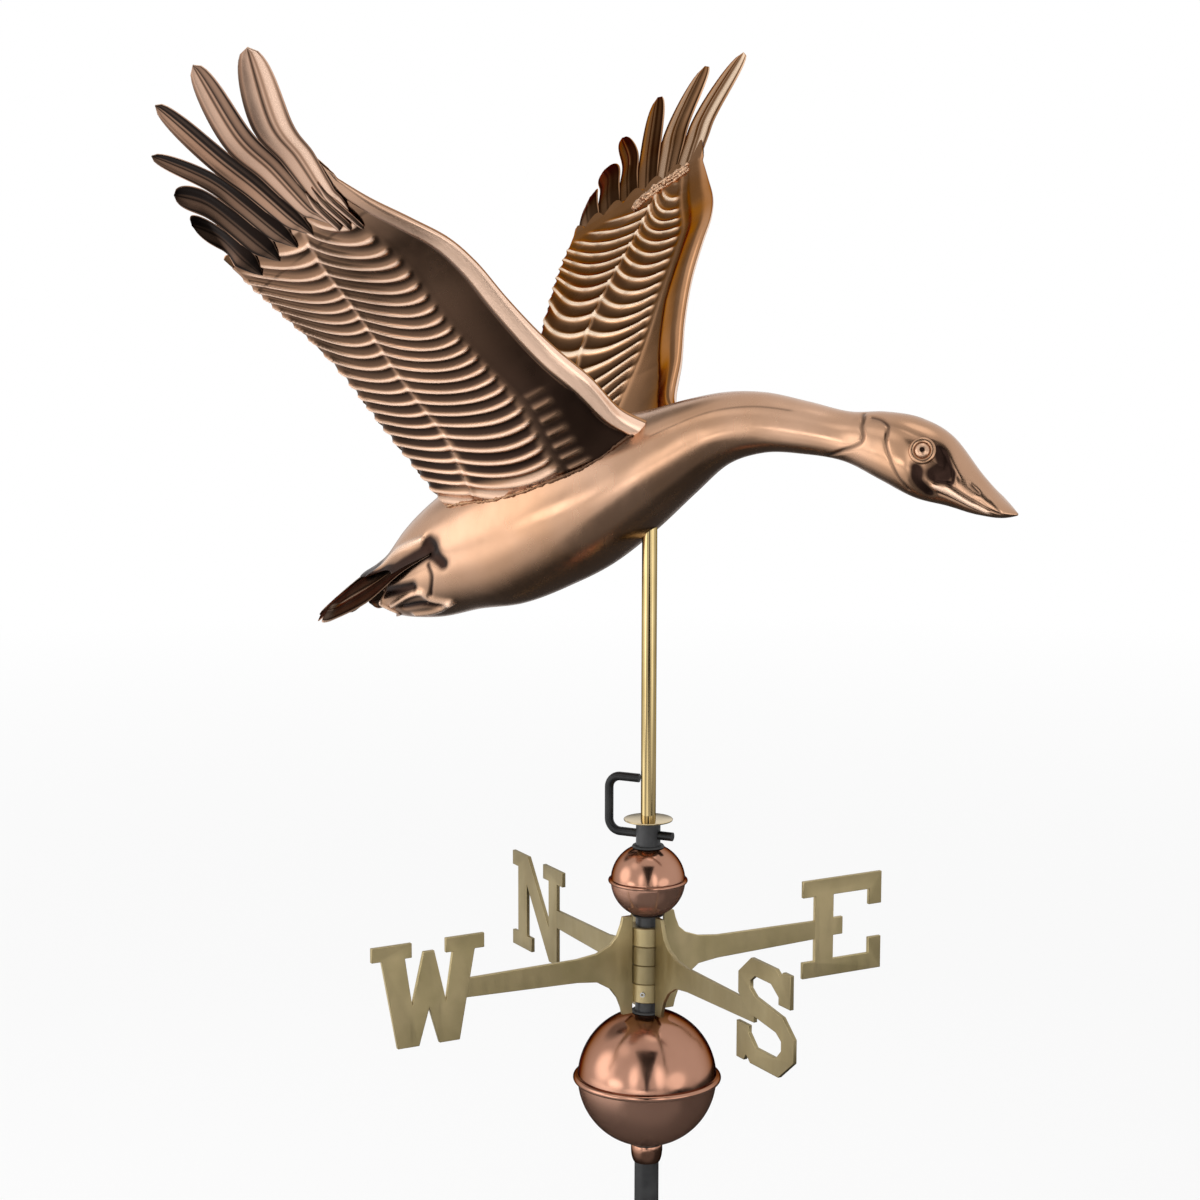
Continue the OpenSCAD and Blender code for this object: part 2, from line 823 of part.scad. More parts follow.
module body_left() {
    color(copper)
        half_shell();
}

module body_right() {
    color(copper)
        mirror([0, 1, 0])
            half_shell();
}

module wing_left_upper() {
    color(copper)
        wing_skin(1);
}

module wing_left_lower() {
    color(copper)
        wing_skin(-1);
}

module wing_left_primaries() {
    color(copper)
        primaries();
}

module wing_right_upper() {
    color(copper)
        mirror([0, 1, 0])
            wing_skin(1);
}

module wing_right_lower() {
    color(copper)
        mirror([0, 1, 0])
            wing_skin(-1);
}

module wing_right_primaries() {
    color(copper)
        mirror([0, 1, 0])
            primaries();
}

// eye: a dome inside a ring, hollowed underneath to sit on the curved head
eye_x = 294 * long_k;
eye_turn = 24;
head_bend = 40 * long_k;
module eye($fn = 160) {
    along = on_body(eye_x + 1, eye_turn, 0) - on_body(eye_x - 1, eye_turn, 0);
    around = on_body(eye_x, eye_turn + 1, 0) - on_body(eye_x, eye_turn - 1, 0);
    out = unit(cross(around, along));
    tilt = asin(out[2]);
    translate(on_body(eye_x, eye_turn, 0))
        rotate([0, 0, atan2(out[1], out[0]) - 90])
            difference() {
                rotate([tilt, 0, 0])
                    rotate([-90, 0, 0])
                        union() {
                            translate([0, 0, 0.4 - eye_r * 0.45])
                                sphere(r = eye_r);
                            translate([0, 0, -2])
                                rotate_extrude()
                                    translate([eye_r + 2.6, 0])
                                        circle(r = 3.2);
                            translate([0, 0, -3])
                                cylinder(r = eye_r + 2.6, h = 3.4);
                        }
                translate([-40, -head_bend * cos(tilt), -head_bend * sin(tilt)])
                    rotate([0, 90, 0])
                        cylinder(r = head_bend + 2 * solder, h = 80);
            }
}

module eye_beads() {
    color(copper) {
        eye();
        mirror([0, 1, 0])
            eye();
    }
}

main_rod();
stop_collar();
stop_collar_screw();
large_ball_lower();
large_ball_upper();
large_ball_grommets();
small_ball_lower();
small_ball_upper();
small_ball_grommets();
hook();
arm_north();
arm_east();
arm_south();
arm_west();
arm_screws();
thrust_ball();
bearing_plug();
tube_bush();
swivel_tube();
lift_disc();
lower_plate();
upper_plate();
body_left();
body_right();
wing_left_upper();
wing_left_lower();
wing_left_primaries();
wing_right_upper();
wing_right_lower();
wing_right_primaries();
tail_fan();
eye_beads();
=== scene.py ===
"""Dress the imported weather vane: a copper goose on a brass tube above two globes and compass arms.

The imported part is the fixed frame. Each class here is one sub-assembly: it holds its sizes as
fields, builds its meshes in millimetres and dresses them with a finish. Objects are in metres.
"""

import json
import logging
import math
from collections.abc import Mapping, Sequence
from dataclasses import dataclass, field
from enum import Enum

import bmesh
import bpy
import numpy as np
from mathutils import Matrix, Vector


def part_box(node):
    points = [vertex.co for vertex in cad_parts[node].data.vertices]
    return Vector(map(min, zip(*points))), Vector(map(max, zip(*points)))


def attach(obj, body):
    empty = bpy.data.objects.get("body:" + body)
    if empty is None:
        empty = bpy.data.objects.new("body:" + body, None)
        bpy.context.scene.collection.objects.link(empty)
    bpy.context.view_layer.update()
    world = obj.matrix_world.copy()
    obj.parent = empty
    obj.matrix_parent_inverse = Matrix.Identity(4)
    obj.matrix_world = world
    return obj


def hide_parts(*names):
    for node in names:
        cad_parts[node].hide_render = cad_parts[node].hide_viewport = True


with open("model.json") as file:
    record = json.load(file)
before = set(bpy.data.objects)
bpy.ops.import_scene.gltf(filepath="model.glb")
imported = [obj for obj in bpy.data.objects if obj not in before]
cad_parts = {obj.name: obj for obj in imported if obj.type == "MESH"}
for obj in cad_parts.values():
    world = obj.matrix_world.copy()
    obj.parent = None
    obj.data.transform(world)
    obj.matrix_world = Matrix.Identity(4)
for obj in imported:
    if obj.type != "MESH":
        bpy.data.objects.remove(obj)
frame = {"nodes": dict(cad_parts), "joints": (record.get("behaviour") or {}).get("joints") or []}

MM = 0.001
LOG = logging.getLogger("weather_vane")

Array = np.ndarray
Colour = tuple[float, float, float]
Spot = tuple[float, float, float]
Point = tuple[float, float]
Setting = float | tuple[float, ...]
Piece = bpy.types.Object
Material = bpy.types.Material
Socket = bpy.types.NodeSocket

SHARE: Point = (0.0, 1.0)
CLOUD_SPAN: Point = (0.35, 0.65)
RUB_SPAN: Point = (0.3, 0.7)
EVEN: Spot = (1.0, 1.0, 1.0)
WHITE = (1.0, 1.0, 1.0, 1.0)


class Side(Enum):
    """Side of the goose that a piece is on, as the sign of its Y."""

    LEFT = 1
    RIGHT = -1


class Face(Enum):
    """Face of a wing, as the sign along the wing's upward normal."""

    UPPER = 1
    LOWER = -1


class Body(Enum):
    """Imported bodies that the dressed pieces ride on."""

    MAST = "mast"
    COMPASS = "compass"
    FIGURE = "figure"


class Sharp(Enum):
    """Degrees past which an edge of a piece stays sharp."""

    BEAD = 180.0
    SHEET = 60.0
    SMALL = 50.0
    TURNED = 35.0
    PLATE = 20.0


def smooth(low: float | Array, high: float | Array, value: Array) -> Array:
    """Shares that ease from 0, where the value is low, to 1, where it is high."""
    share = np.clip((value - low) / (high - low), 0.0, 1.0)
    return share * share * (3.0 - 2.0 * share)


def bell(distance: Array, width: float | Array) -> Array:
    """Rounded bump of height 1 that fades over the given width."""
    return np.exp(-np.square(distance / width))


def unit(vector: Array) -> Array:
    """Vectors scaled to length 1 along the last axis."""
    return vector / np.linalg.norm(vector, axis=-1, keepdims=True)


@dataclass(frozen=True)
class Rail:
    """Smooth line through given rows; each row starts with its place along the line."""

    rows: tuple[tuple[float, ...], ...]

    def at(self, place: Array | float) -> Array:
        """Read the line.

        Args:
            place: Places along the line; those past an end read the end.

        Returns:
            Values at those places, with a last axis where a row holds several.
        """
        table = np.asarray(self.rows, float)
        knots, values = table[:, 0], table[:, 1:]
        place = np.clip(np.asarray(place, float), knots[0], knots[-1])
        slopes = np.gradient(values, knots, axis=0)
        i = np.clip(np.searchsorted(knots, place, side="right") - 1, 0, len(knots) - 2)
        step = (knots[i + 1] - knots[i])[..., None]
        k = (place - knots[i])[..., None] / step
        k2, k3 = k * k, k * k * k
        found = (2 * k3 - 3 * k2 + 1) * values[i] + (k3 - 2 * k2 + k) * step * slopes[i]
        found += (3 * k2 - 2 * k3) * values[i + 1] + (k3 - k2) * step * slopes[i + 1]
        return found[..., 0] if values.shape[1] == 1 else found


def even_rail(points: Sequence[Sequence[float]]) -> tuple[Array, Rail]:
    """Places from 0 to 1 of points that are spaced evenly, and the smooth line through them."""
    knots = np.linspace(0.0, 1.0, len(points))
    return knots, Rail(tuple((k, *p) for k, p in zip(knots, points, strict=True)))


def set_out(name: str, data: bpy.types.ID) -> Piece:
    """Make an object from a mesh, a lamp or a camera, and link it to the scene.

    Args:
        name: Name of the object.
        data: What the object shows.

    Returns:
        The new object.
    """
    made = bpy.data.objects.new(name, data)
    bpy.context.scene.collection.objects.link(made)
    return made


class MeshDraft:
    """Collects points in millimetres, faces and a share of patina and painted light, then makes one
    mesh object.
    """

    # Painted shade on the inner faces of every sheet.
    inner_shade = 0.6
    aside = (0.13, 0.31, 1.0)
    aside_if_steep = (1.0, 0.2, 0.0)
    steep = 0.15
    bevel_segments = 2

    def __init__(self) -> None:
        """Start with nothing."""
        self.points: list[Array] = []
        self.patina_and_painted_light_arrays: list[Array] = []
        self.faces: list[list[int]] = []
        self.count = 0

    def add_points(self, points: Array, hollow: Array | float = 0.0) -> int:
        """Add points.

        Args:
            points: Points, with x, y and z on the last axis.
            hollow: Share from -1, a painted highlight on a crest, to 1, patina and painted shade
                deep in a recess.

        Returns:
            Index of the first new point.
        """
        flat = np.asarray(points, float).reshape(-1, 3)
        start = self.count
        self.points.append(flat)
        self.patina_and_painted_light_arrays.append(np.broadcast_to(np.asarray(hollow, float).ravel(), (len(flat),)))
        self.count += len(flat)
        return start

    def add_quads(self, start: int, rows: int, columns: int, wrap: bool) -> None:
        """Join a grid of points with quads.

        Args:
            start: Index of the grid's first point.
            rows: Number of rows.
            columns: Number of columns.
            wrap: Whether the last column joins the first.
        """
        i = np.arange(rows - 1)[:, None] * columns + start
        j = np.arange(columns if wrap else columns - 1)[None, :]
        k = (j + 1) % columns
        quads = np.stack([i + j, i + columns + j, i + columns + k, i + k], -1)
        self.faces.extend(quads.reshape(-1, 4).tolist())

    def add_tube(self, loops: Array, hollow: Array) -> None:
        """Add a closed solid from loops of points, with both ends capped.

        Args:
            loops: Loops of points, one row for each place along the solid.
            hollow: Share of patina and painted light at each point.
        """
        rows, columns = loops.shape[:2]
        start = self.add_points(loops, hollow)
        self.add_quads(start, rows, columns, True)
        for end in (start, start + (rows - 1) * columns):
            self.faces.append(list(range(end, end + columns)))

    def add_rod(self, path: Array, size: Array, ring: int, hollow: Array) -> None:
        """Add a round rod along a line.

        Args:
            path: Points along the rod.
            size: Radius of the rod at each point.
            ring: Number of points round the rod.
            hollow: Share of patina and painted light at each point.
        """
        along = unit(np.gradient(path, axis=0))
        first = np.cross(along, unit(np.array(self.aside)))
        steep = np.linalg.norm(first, axis=-1, keepdims=True) < self.steep
        first = unit(np.where(steep, np.cross(along, self.aside_if_steep), first))
        second = np.cross(along, first)
        turn = np.linspace(0.0, math.tau, ring, endpoint=False)[None, :, None]
        spokes = np.cos(turn) * first[:, None] + np.sin(turn) * second[:, None]
        self.add_tube(path[:, None] + size[:, None, None] * spokes, np.repeat(hollow, ring))

    def add_sheet(self, outer: Array, inner: Array, hollow: Array, stride: int) -> None:
        """Add a closed sheet between a fine outer grid and a coarser inner one.

        Args:
            outer: Outer grid of points.
            inner: Inner grid at the same resolution; every stride-th point is kept.
            hollow: Share of patina and painted light at the outer points.
            stride: Step of the points kept on the inner grid; it divides the grid's steps.
        """
        coarse = inner[::stride, ::stride]
        grids = []
        for points, shade in ((outer, hollow), (coarse, self.inner_shade)):
            rows, columns = points.shape[:2]
            start = self.add_points(points, shade)
            self.add_quads(start, rows, columns, False)
            grids.append(np.arange(rows * columns).reshape(rows, columns) + start)
        fine, low = grids
        for end in (0, -1):
            self.close_rim(fine[end], low[end], stride)
        for end in (0, -1):
            self.close_rim(fine[:, end], low[:, end], stride)

    def close_rim(self, fine: Array, coarse: Array, stride: int) -> None:
        """Close one rim of a sheet.

        Args:
            fine: Points along the outer grid's rim.
            coarse: Points along the inner grid's rim.
            stride: Steps of the fine rim for each step of the coarse one.
        """
        for k in range(len(coarse) - 1):
            run = fine[k * stride : (k + 1) * stride + 1].tolist()
            self.faces.append(run + [int(coarse[k + 1]), int(coarse[k])])

    def add_lathe(
        self,
        profile: Sequence[Point],
        axes: Array,
        steps: int,
        hollow: Sequence[float] | None = None,
    ) -> None:
        """Add a turned solid from a closed profile.

        Args:
            profile: Radius and height of each corner, round the profile's outline.
            axes: Four rows: the origin, then the solid's x, y and z directions.
            steps: Number of steps round the axis.
            hollow: Share of patina and painted light at each corner, if any.
        """
        origin, x_way, y_way, z_way = axes
        turn = np.linspace(0.0, math.tau, steps, endpoint=False)[:, None, None]
        radius, height = (np.array(row)[None, :, None] for row in zip(*profile, strict=True))
        spokes = radius * (np.cos(turn) * x_way + np.sin(turn) * y_way)
        shade = 0.0 if hollow is None else np.tile(hollow, steps)
        start = self.add_points(origin + spokes + height * z_way, shade)
        columns = len(profile)
        for i in range(steps):
            here, there = start + i * columns, start + (i + 1) % steps * columns
            for j in range(columns):
                k = (j + 1) % columns
                self.faces.append([here + j, there + j, there + k, here + k])

    def add_plate(
        self, outline: Sequence[Point], axes: Array, thickness: float, bevel: float
    ) -> None:
        """Add a plate cut to an outline, with its edges eased.

        Args:
            outline: Corners of the outline, counter-clockwise.
            axes: Four rows: the origin, then the plate's x, y and thickness directions.
            thickness: Thickness of the plate.
            bevel: How much the edges are eased.
        """
        work = bmesh.new()
        corners = [work.verts.new((x, y, -thickness / 2)) for x, y in outline]
        bottom = work.faces.new(corners)
        raised = bmesh.ops.extrude_face_region(work, geom=[bottom])["geom"]
        moved = [item for item in raised if isinstance(item, bmesh.types.BMVert)]
        bmesh.ops.translate(work, verts=moved, vec=(0.0, 0.0, thickness))
        bmesh.ops.recalc_face_normals(work, faces=work.faces)
        bmesh.ops.bevel(
            work,
            geom=work.edges[:],
            offset=bevel,
            segments=self.bevel_segments,
            profile=0.5,
            affect="EDGES",
        )
        work.verts.index_update()
        local = np.array([vert.co for vert in work.verts])
        start = self.add_points(axes[0] + local @ axes[1:])
        self.faces.extend([[start + vert.index for vert in f.verts] for f in work.faces])
        work.free()

    def finish(self, name: str, sharp: Sharp) -> Piece:
        """Make the mesh object, with all its faces turned outward.

        Args:
            name: Name of the object.
            sharp: Which edges stay sharp.

        Returns:
            Object linked to the scene, in metres.
        """
        mesh = bpy.data.meshes.new(name)
        mesh.from_pydata((np.concatenate(self.points) * MM).tolist(), [], self.faces)
        mesh.validate()
        work = bmesh.new()
        work.from_mesh(mesh)
        bmesh.ops.recalc_face_normals(work, faces=work.faces[:])
        if work.calc_volume(signed=True) < 0:
            bmesh.ops.reverse_faces(work, faces=work.faces[:])
        work.to_mesh(mesh)
        work.free()
        # The share paints light onto the finish: a highlight on crests, patina with painted shade in
        # recesses.
        shade = mesh.attributes.new("hollow", "FLOAT", "POINT")
        shade.data.foreach_set("value", np.concatenate(self.patina_and_painted_light_arrays).astype(np.float32))
        mesh.shade_smooth()
        mesh.set_sharp_from_angle(angle=math.radians(sharp.value))
        return set_out(name, mesh)


def upright(height: float) -> Array:
    """Axes of an upright solid on the rod's axis, at a height."""
    return np.array([(0, 0, height), (1, 0, 0), (0, 1, 0), (0, 0, 1)], float)


def seat(
    piece: Piece,
    finishes: Sequence[Material],
    body: Body,
    slot: str,
    *nodes: str,
) -> None:
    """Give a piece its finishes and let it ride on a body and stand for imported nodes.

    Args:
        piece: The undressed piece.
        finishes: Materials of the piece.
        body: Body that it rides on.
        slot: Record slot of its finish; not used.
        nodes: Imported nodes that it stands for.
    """
    for finish in finishes:
        piece.data.materials.append(finish)
    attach(piece, body.value)
    if nodes:
        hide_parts(*nodes)
    LOG.info("%s: %d faces on %s", piece.name, len(piece.data.polygons), body.value)


class NodeBench:
    """Lays out the nodes of a material or of the world."""

    def __init__(self, owner: Material | bpy.types.World) -> None:
        """Start with no nodes.

        Args:
            owner: Material or world that takes the nodes.
        """
        owner.use_nodes = True
        self.tree = owner.node_tree
        self.tree.nodes.clear()

    def give(self, target: Socket, value: Socket | Setting) -> None:
        """Link an input to a socket, or set its value.

        Args:
            target: The input.
            value: Socket to link, or value to set.
        """
        if isinstance(value, Socket):
            self.tree.links.new(value, target)
        else:
            target.default_value = value

    def node(
        self, kind: str, inputs: Mapping[str | int, Socket | Setting], **options: str
    ) -> bpy.types.Node:
        """Add a node.

        Args:
            kind: Type of the node, without the shader prefix.
            inputs: For each input by name or place, the socket to link or the value to set.
            options: Choices to set on the node itself.

        Returns:
            The new node.
        """
        made = self.tree.nodes.new(f"ShaderNode{kind}")
        for name, choice in options.items():
            setattr(made, name, choice)
        for name, value in inputs.items():
            self.give(made.inputs[name], value)
        return made

    def place(self) -> Socket:
        """Place on the object, in its own axes."""
        return self.node("TexCoord", {}).outputs["Object"]

    def glow(self, level: float) -> Socket:
        """White light of a level."""
        lit = self.node("Emission", {"Color": WHITE, "Strength": level})
        return lit.outputs["Emission"]

    def blend(self, share: Socket, low: Socket, high: Socket) -> Socket:
        """Blend two shaders by a share."""
        return self.node("MixShader", {"Fac": share, 1: low, 2: high}).outputs["Shader"]

    def reach(self) -> Socket:
        """Distance from the object's origin."""
        return self.node("VectorMath", {0: self.place()}, operation="LENGTH").outputs["Value"]

    def surface(self, shader: Socket) -> None:
        """Give a shader to the material's output."""
        self.node("OutputMaterial", {"Surface": shader})

    def seen_rays(self) -> Socket:
        """Share that is 1 for rays that show the surround: camera, glossy and transmission.

        Returns:
            Socket of the share.
        """
        path = self.node("LightPath", {})
        seen = path.outputs["Is Camera Ray"]
        for name in ("Is Glossy Ray", "Is Transmission Ray"):
            either = self.node("Math", {0: seen, 1: path.outputs[name]}, operation="MAXIMUM")
            seen = either.outputs["Value"]
        return seen

    def spread(self, value: Socket, source: Point, target: Point) -> Socket:
        """Map a range of values to another.

        Args:
            value: Values to map.
            source: Range that is read.
            target: Range that is written.

        Returns:
            Socket of the mapped values, held inside the target range.
        """
        names = ("From Min", "From Max", "To Min", "To Max")
        ends = dict(zip(names, (*source, *target), strict=True))
        return self.node("MapRange", {"Value": value, **ends}).outputs["Result"]


class FinishBench(NodeBench):
    """Lays out the nodes of one metal, paint or rubber finish."""

    mix_low = 6
    mix_high = 7
    mix_result = 2

    def __init__(self, name: str) -> None:
        """Make a material with an output and a surface shader.

        Args:
            name: Name of the material.
        """
        self.material = bpy.data.materials.new(name)
        super().__init__(self.material)
        self.shader = self.node("BsdfPrincipled", {})
        self.surface(self.shader.outputs["BSDF"])

    def set(self, **inputs: Socket | Setting) -> None:
        """Link or set the surface shader's inputs, named with underscores for spaces."""
        for name, value in inputs.items():
            self.give(self.shader.inputs[name.replace("_", " ")], value)

    def noise(self, scale: float, detail: float, stretch: Spot = EVEN) -> Socket:
        """Add a cloudy pattern.

        Args:
            scale: Pattern repeats in a metre.
            detail: Octaves of finer pattern.
            stretch: Scale along each axis.

        Returns:
            Socket of the pattern, from 0 to 1.
        """
        mapping = self.node("Mapping", {"Vector": self.place(), "Scale": stretch})
        inputs = {"Vector": mapping.outputs["Vector"], "Scale": scale, "Detail": detail}
        return self.node("TexNoise", inputs).outputs["Fac"]

    def dents(self, scale: float) -> Socket:
        """Soft rounded dents, so many in a metre, as a planishing hammer leaves."""
        inputs = {"Vector": self.place(), "Scale": scale, "Smoothness": 1.0}
        return self.node("TexVoronoi", inputs, feature="SMOOTH_F1").outputs["Distance"]

    def hollow(self) -> Socket:
        """Hollow share that the mesh carries."""
        # Share of patina and painted light that the mesh carries: a painted highlight below 0,
        # patina and painted shade above.
        return self.node("Attribute", {}, attribute_name="hollow").outputs["Fac"]

    def edge_pointiness(self) -> Socket:
        """Share that rises on convex edges and falls in corners."""
        return self.node("NewGeometry", {}).outputs["Pointiness"]

    def mix(self, share: Socket, low: Colour | Socket, high: Colour) -> Socket:
        """Blend two colours.

        Args:
            share: Share of the second colour.
            low: First colour or a socket of it.
            high: Second colour.

        Returns:
            Socket of the blended colour.
        """
        first = low if isinstance(low, Socket) else (*low, 1.0)
        inputs = {"Factor": share, self.mix_low: first, self.mix_high: (*high, 1.0)}
        return self.node("Mix", inputs, data_type="RGBA").outputs[self.mix_result]

    def clouds(
        self, scale: float, detail: float, low: Colour, high: Colour, span: Point = CLOUD_SPAN
    ) -> Socket:
        """Two colours in soft clouds that change over a span of a noise pattern."""
        return self.mix(self.spread(self.noise(scale, detail), span, SHARE), low, high)

    def rubbed(self, scale: float, detail: float, polish: Point, stretch: Spot = EVEN) -> Socket:
        """Roughness that varies within the polish range from place to place."""
        return self.spread(self.noise(scale, detail, stretch), RUB_SPAN, polish)

    def sum(self, first: Socket, second: Socket) -> Socket:
        """Add two values."""
        return self.node("Math", {0: first, 1: second}).outputs["Value"]

    def bump(self, height: Socket, depth: float, below: Socket | None = None) -> Socket:
        """Turn a pattern into surface relief.

        Args:
            height: Pattern of heights, from 0 to 1.
            depth: Height of the relief in millimetres.
            below: Relief that this one lies on.

        Returns:
            Socket of the bent normal.
        """
        inputs = {"Strength": 1.0, "Distance": depth * MM, "Height": height}
        if below is not None:
            inputs["Normal"] = below
        return self.node("Bump", inputs).outputs["Normal"]


@dataclass(frozen=True)
class CopperFinish:
    """Polished copper sheet with warm clouds and planishing dents, a painted highlight on crests,
    and patina with painted shade in recesses.
    """

    name: str
    bright: Colour = (0.54, 0.335, 0.225)
    warm: Colour = (0.44, 0.255, 0.155)
    # Painted highlight colour, taken where the share is -1.
    crest: Colour = (0.76, 0.52, 0.38)
    # Colour of patina and painted shade, taken where the share is 1.
    hollow: Colour = (0.075, 0.037, 0.025)
    patina_and_painted_shade_share: float = 0.85
    hollow_dull: float = 0.16
    dull_span: Point = (0.2, 1.0)
    edge: Colour = (1.0, 1.0, 1.0)
    crest_metal: float = 1.0
    metal: float = 1.0
    polish: Point = (0.12, 0.24)
    cloud_scale: float = 9.0
    smear_scale: float = 60.0
    smear_stretch: Spot = (1.0, 1.0, 0.4)
    dent_mm: float = 0.15
    dent_scale: float = 34.0
    line_mm: float = 0.012
    line_scale: float = 700.0
    line_stretch: Spot = (0.25, 0.25, 1.0)

    def material(self) -> Material:
        """Lay out the material.

        Returns:
            The finished material.
        """
        bench = FinishBench(self.name)
        bench.set(Metallic=self.metal, Specular_Tint=(*self.edge, 1.0))
        hollow = bench.hollow()
        crests = (-1.0, 0.0)
        # Crests lose some metal, so that the lamps light the painted highlight colour on them.
        if self.crest_metal < 1.0:
            bench.set(Metallic=bench.spread(hollow, crests, (self.crest_metal, 1.0)))
        sheet = bench.clouds(self.cloud_scale, 4.0, self.bright, self.warm)
        # Painted highlight on crests, then patina and painted shade in recesses.
        sheet = bench.mix(bench.spread(hollow, crests, (1.0, 0.0)), sheet, self.crest)
        dark = bench.spread(hollow, SHARE, (0.0, self.patina_and_painted_shade_share))
        bench.set(Base_Color=bench.mix(dark, sheet, self.hollow))
        smear = bench.rubbed(self.smear_scale, 5.0, self.polish, self.smear_stretch)
        dull = bench.spread(hollow, self.dull_span, (0.0, self.hollow_dull))
        bench.set(Roughness=bench.sum(smear, dull))
        waves = bench.bump(bench.dents(self.dent_scale), self.dent_mm)
        lines = bench.noise(self.line_scale, 2.0, self.line_stretch)
        bench.set(Normal=bench.bump(lines, self.line_mm, waves))
        return bench.material


@dataclass(frozen=True)
class BrassFinish:
    """Brass with olive clouds; the polish range sets satin plate or bright tube."""

    name: str
    bright: Colour
    olive: Colour = (0.31, 0.245, 0.12)
    polish: Point = (0.36, 0.5)
    grain_mm: float = 0.03
    grain_scale: float = 900.0
    cloud_scale: float = 22.0
    cloud_span: Point = (0.35, 0.68)
    # Colour on convex edges: wear in the light default, painted shade in the dark colour of the
    # compass arms.
    edge_wear_and_painted_shade: Colour = (0.62, 0.47, 0.24)
    edge_mark_span: Point = (0.52, 0.62)
    edge_mark_share: float = 0.7
    # Colour of dark lengthwise streaks: painted reflections on the polished tube.
    painted_reflection_streak: Colour | None = None
    streak_scale: float = 150.0
    streak_stretch: Spot = (1.0, 1.0, 0.01)
    streak_span: Point = (0.46, 0.54)
    streak_share: float = 0.9
    rub_scale: float = 120.0
    rub_stretch: Spot = (1.0, 1.0, 0.2)
    edge: Colour = (1.0, 1.0, 1.0)

    def material(self) -> Material:
        """Lay out the material.

        Returns:
            The finished material.
        """
        bench = FinishBench(self.name)
        bench.set(Metallic=1.0, Specular_Tint=(*self.edge, 1.0))
        plate = bench.clouds(self.cloud_scale, 6.0, self.bright, self.olive, self.cloud_span)
        if self.painted_reflection_streak is not None:
            # Painted reflections: dark streaks along the tube's length.
            reflection_streaks = bench.noise(self.streak_scale, 1.0, self.streak_stretch)
            reflection_streaks = bench.spread(reflection_streaks, self.streak_span, (0.0, self.streak_share))
            plate = bench.mix(reflection_streaks, plate, self.painted_reflection_streak)
        # Convex edges take the edge colour: wear on most brass, painted shade on the compass arms.
        worn_and_shaded_edges = bench.spread(bench.edge_pointiness(), self.edge_mark_span, (0.0, self.edge_mark_share))
        bench.set(
            Base_Color=bench.mix(worn_and_shaded_edges, plate, self.edge_wear_and_painted_shade),
            Roughness=bench.rubbed(self.rub_scale, 5.0, self.polish, self.rub_stretch),
            Normal=bench.bump(bench.noise(self.grain_scale, 3.0), self.grain_mm),
        )
        return bench.material


@dataclass(frozen=True)
class PaintFinish:
    """Black coat over steel, or plain black rubber, with dust and a fine skin."""

    name: str
    coat: Colour = (0.014, 0.014, 0.015)
    dust: Colour = (0.035, 0.035, 0.036)
    gloss: Point = (0.34, 0.52)
    sheen: float = 0.5
    dust_scale: float = 40.0
    dust_span: Point = (0.45, 0.75)
    rub_scale: float = 85.0
    skin_mm: float = 0.02
    skin_scale: float = 520.0

    def material(self) -> Material:
        """Lay out the material.

        Returns:
            The finished material.
        """
        bench = FinishBench(self.name)
        bench.set(
            Specular_IOR_Level=self.sheen,
            Base_Color=bench.clouds(self.dust_scale, 5.0, self.coat, self.dust, self.dust_span),
            Roughness=bench.rubbed(self.rub_scale, 4.0, self.gloss),
            Normal=bench.bump(bench.noise(self.skin_scale, 2.0), self.skin_mm),
        )
        return bench.material


@dataclass(frozen=True)
class SteelFinish:
    """Plain turned steel with fine rings."""

    name: str
    bright: Colour = (0.50, 0.49, 0.47)
    grey: Colour = (0.33, 0.33, 0.33)
    polish: Point = (0.2, 0.35)
    cloud_scale: float = 150.0
    rub_scale: float = 400.0
    ring_mm: float = 0.01
    ring_scale: float = 1500.0
    ring_stretch: Spot = (0.1, 0.1, 1.0)

    def material(self) -> Material:
        """Lay out the material.

        Returns:
            The finished material.
        """
        bench = FinishBench(self.name)
        rings = bench.noise(self.ring_scale, 1.0, self.ring_stretch)
        bench.set(
            Metallic=1.0,
            Base_Color=bench.clouds(self.cloud_scale, 4.0, self.bright, self.grey),
            Roughness=bench.rubbed(self.rub_scale, 3.0, self.polish),
            Normal=bench.bump(rings, self.ring_mm),
        )
        return bench.material


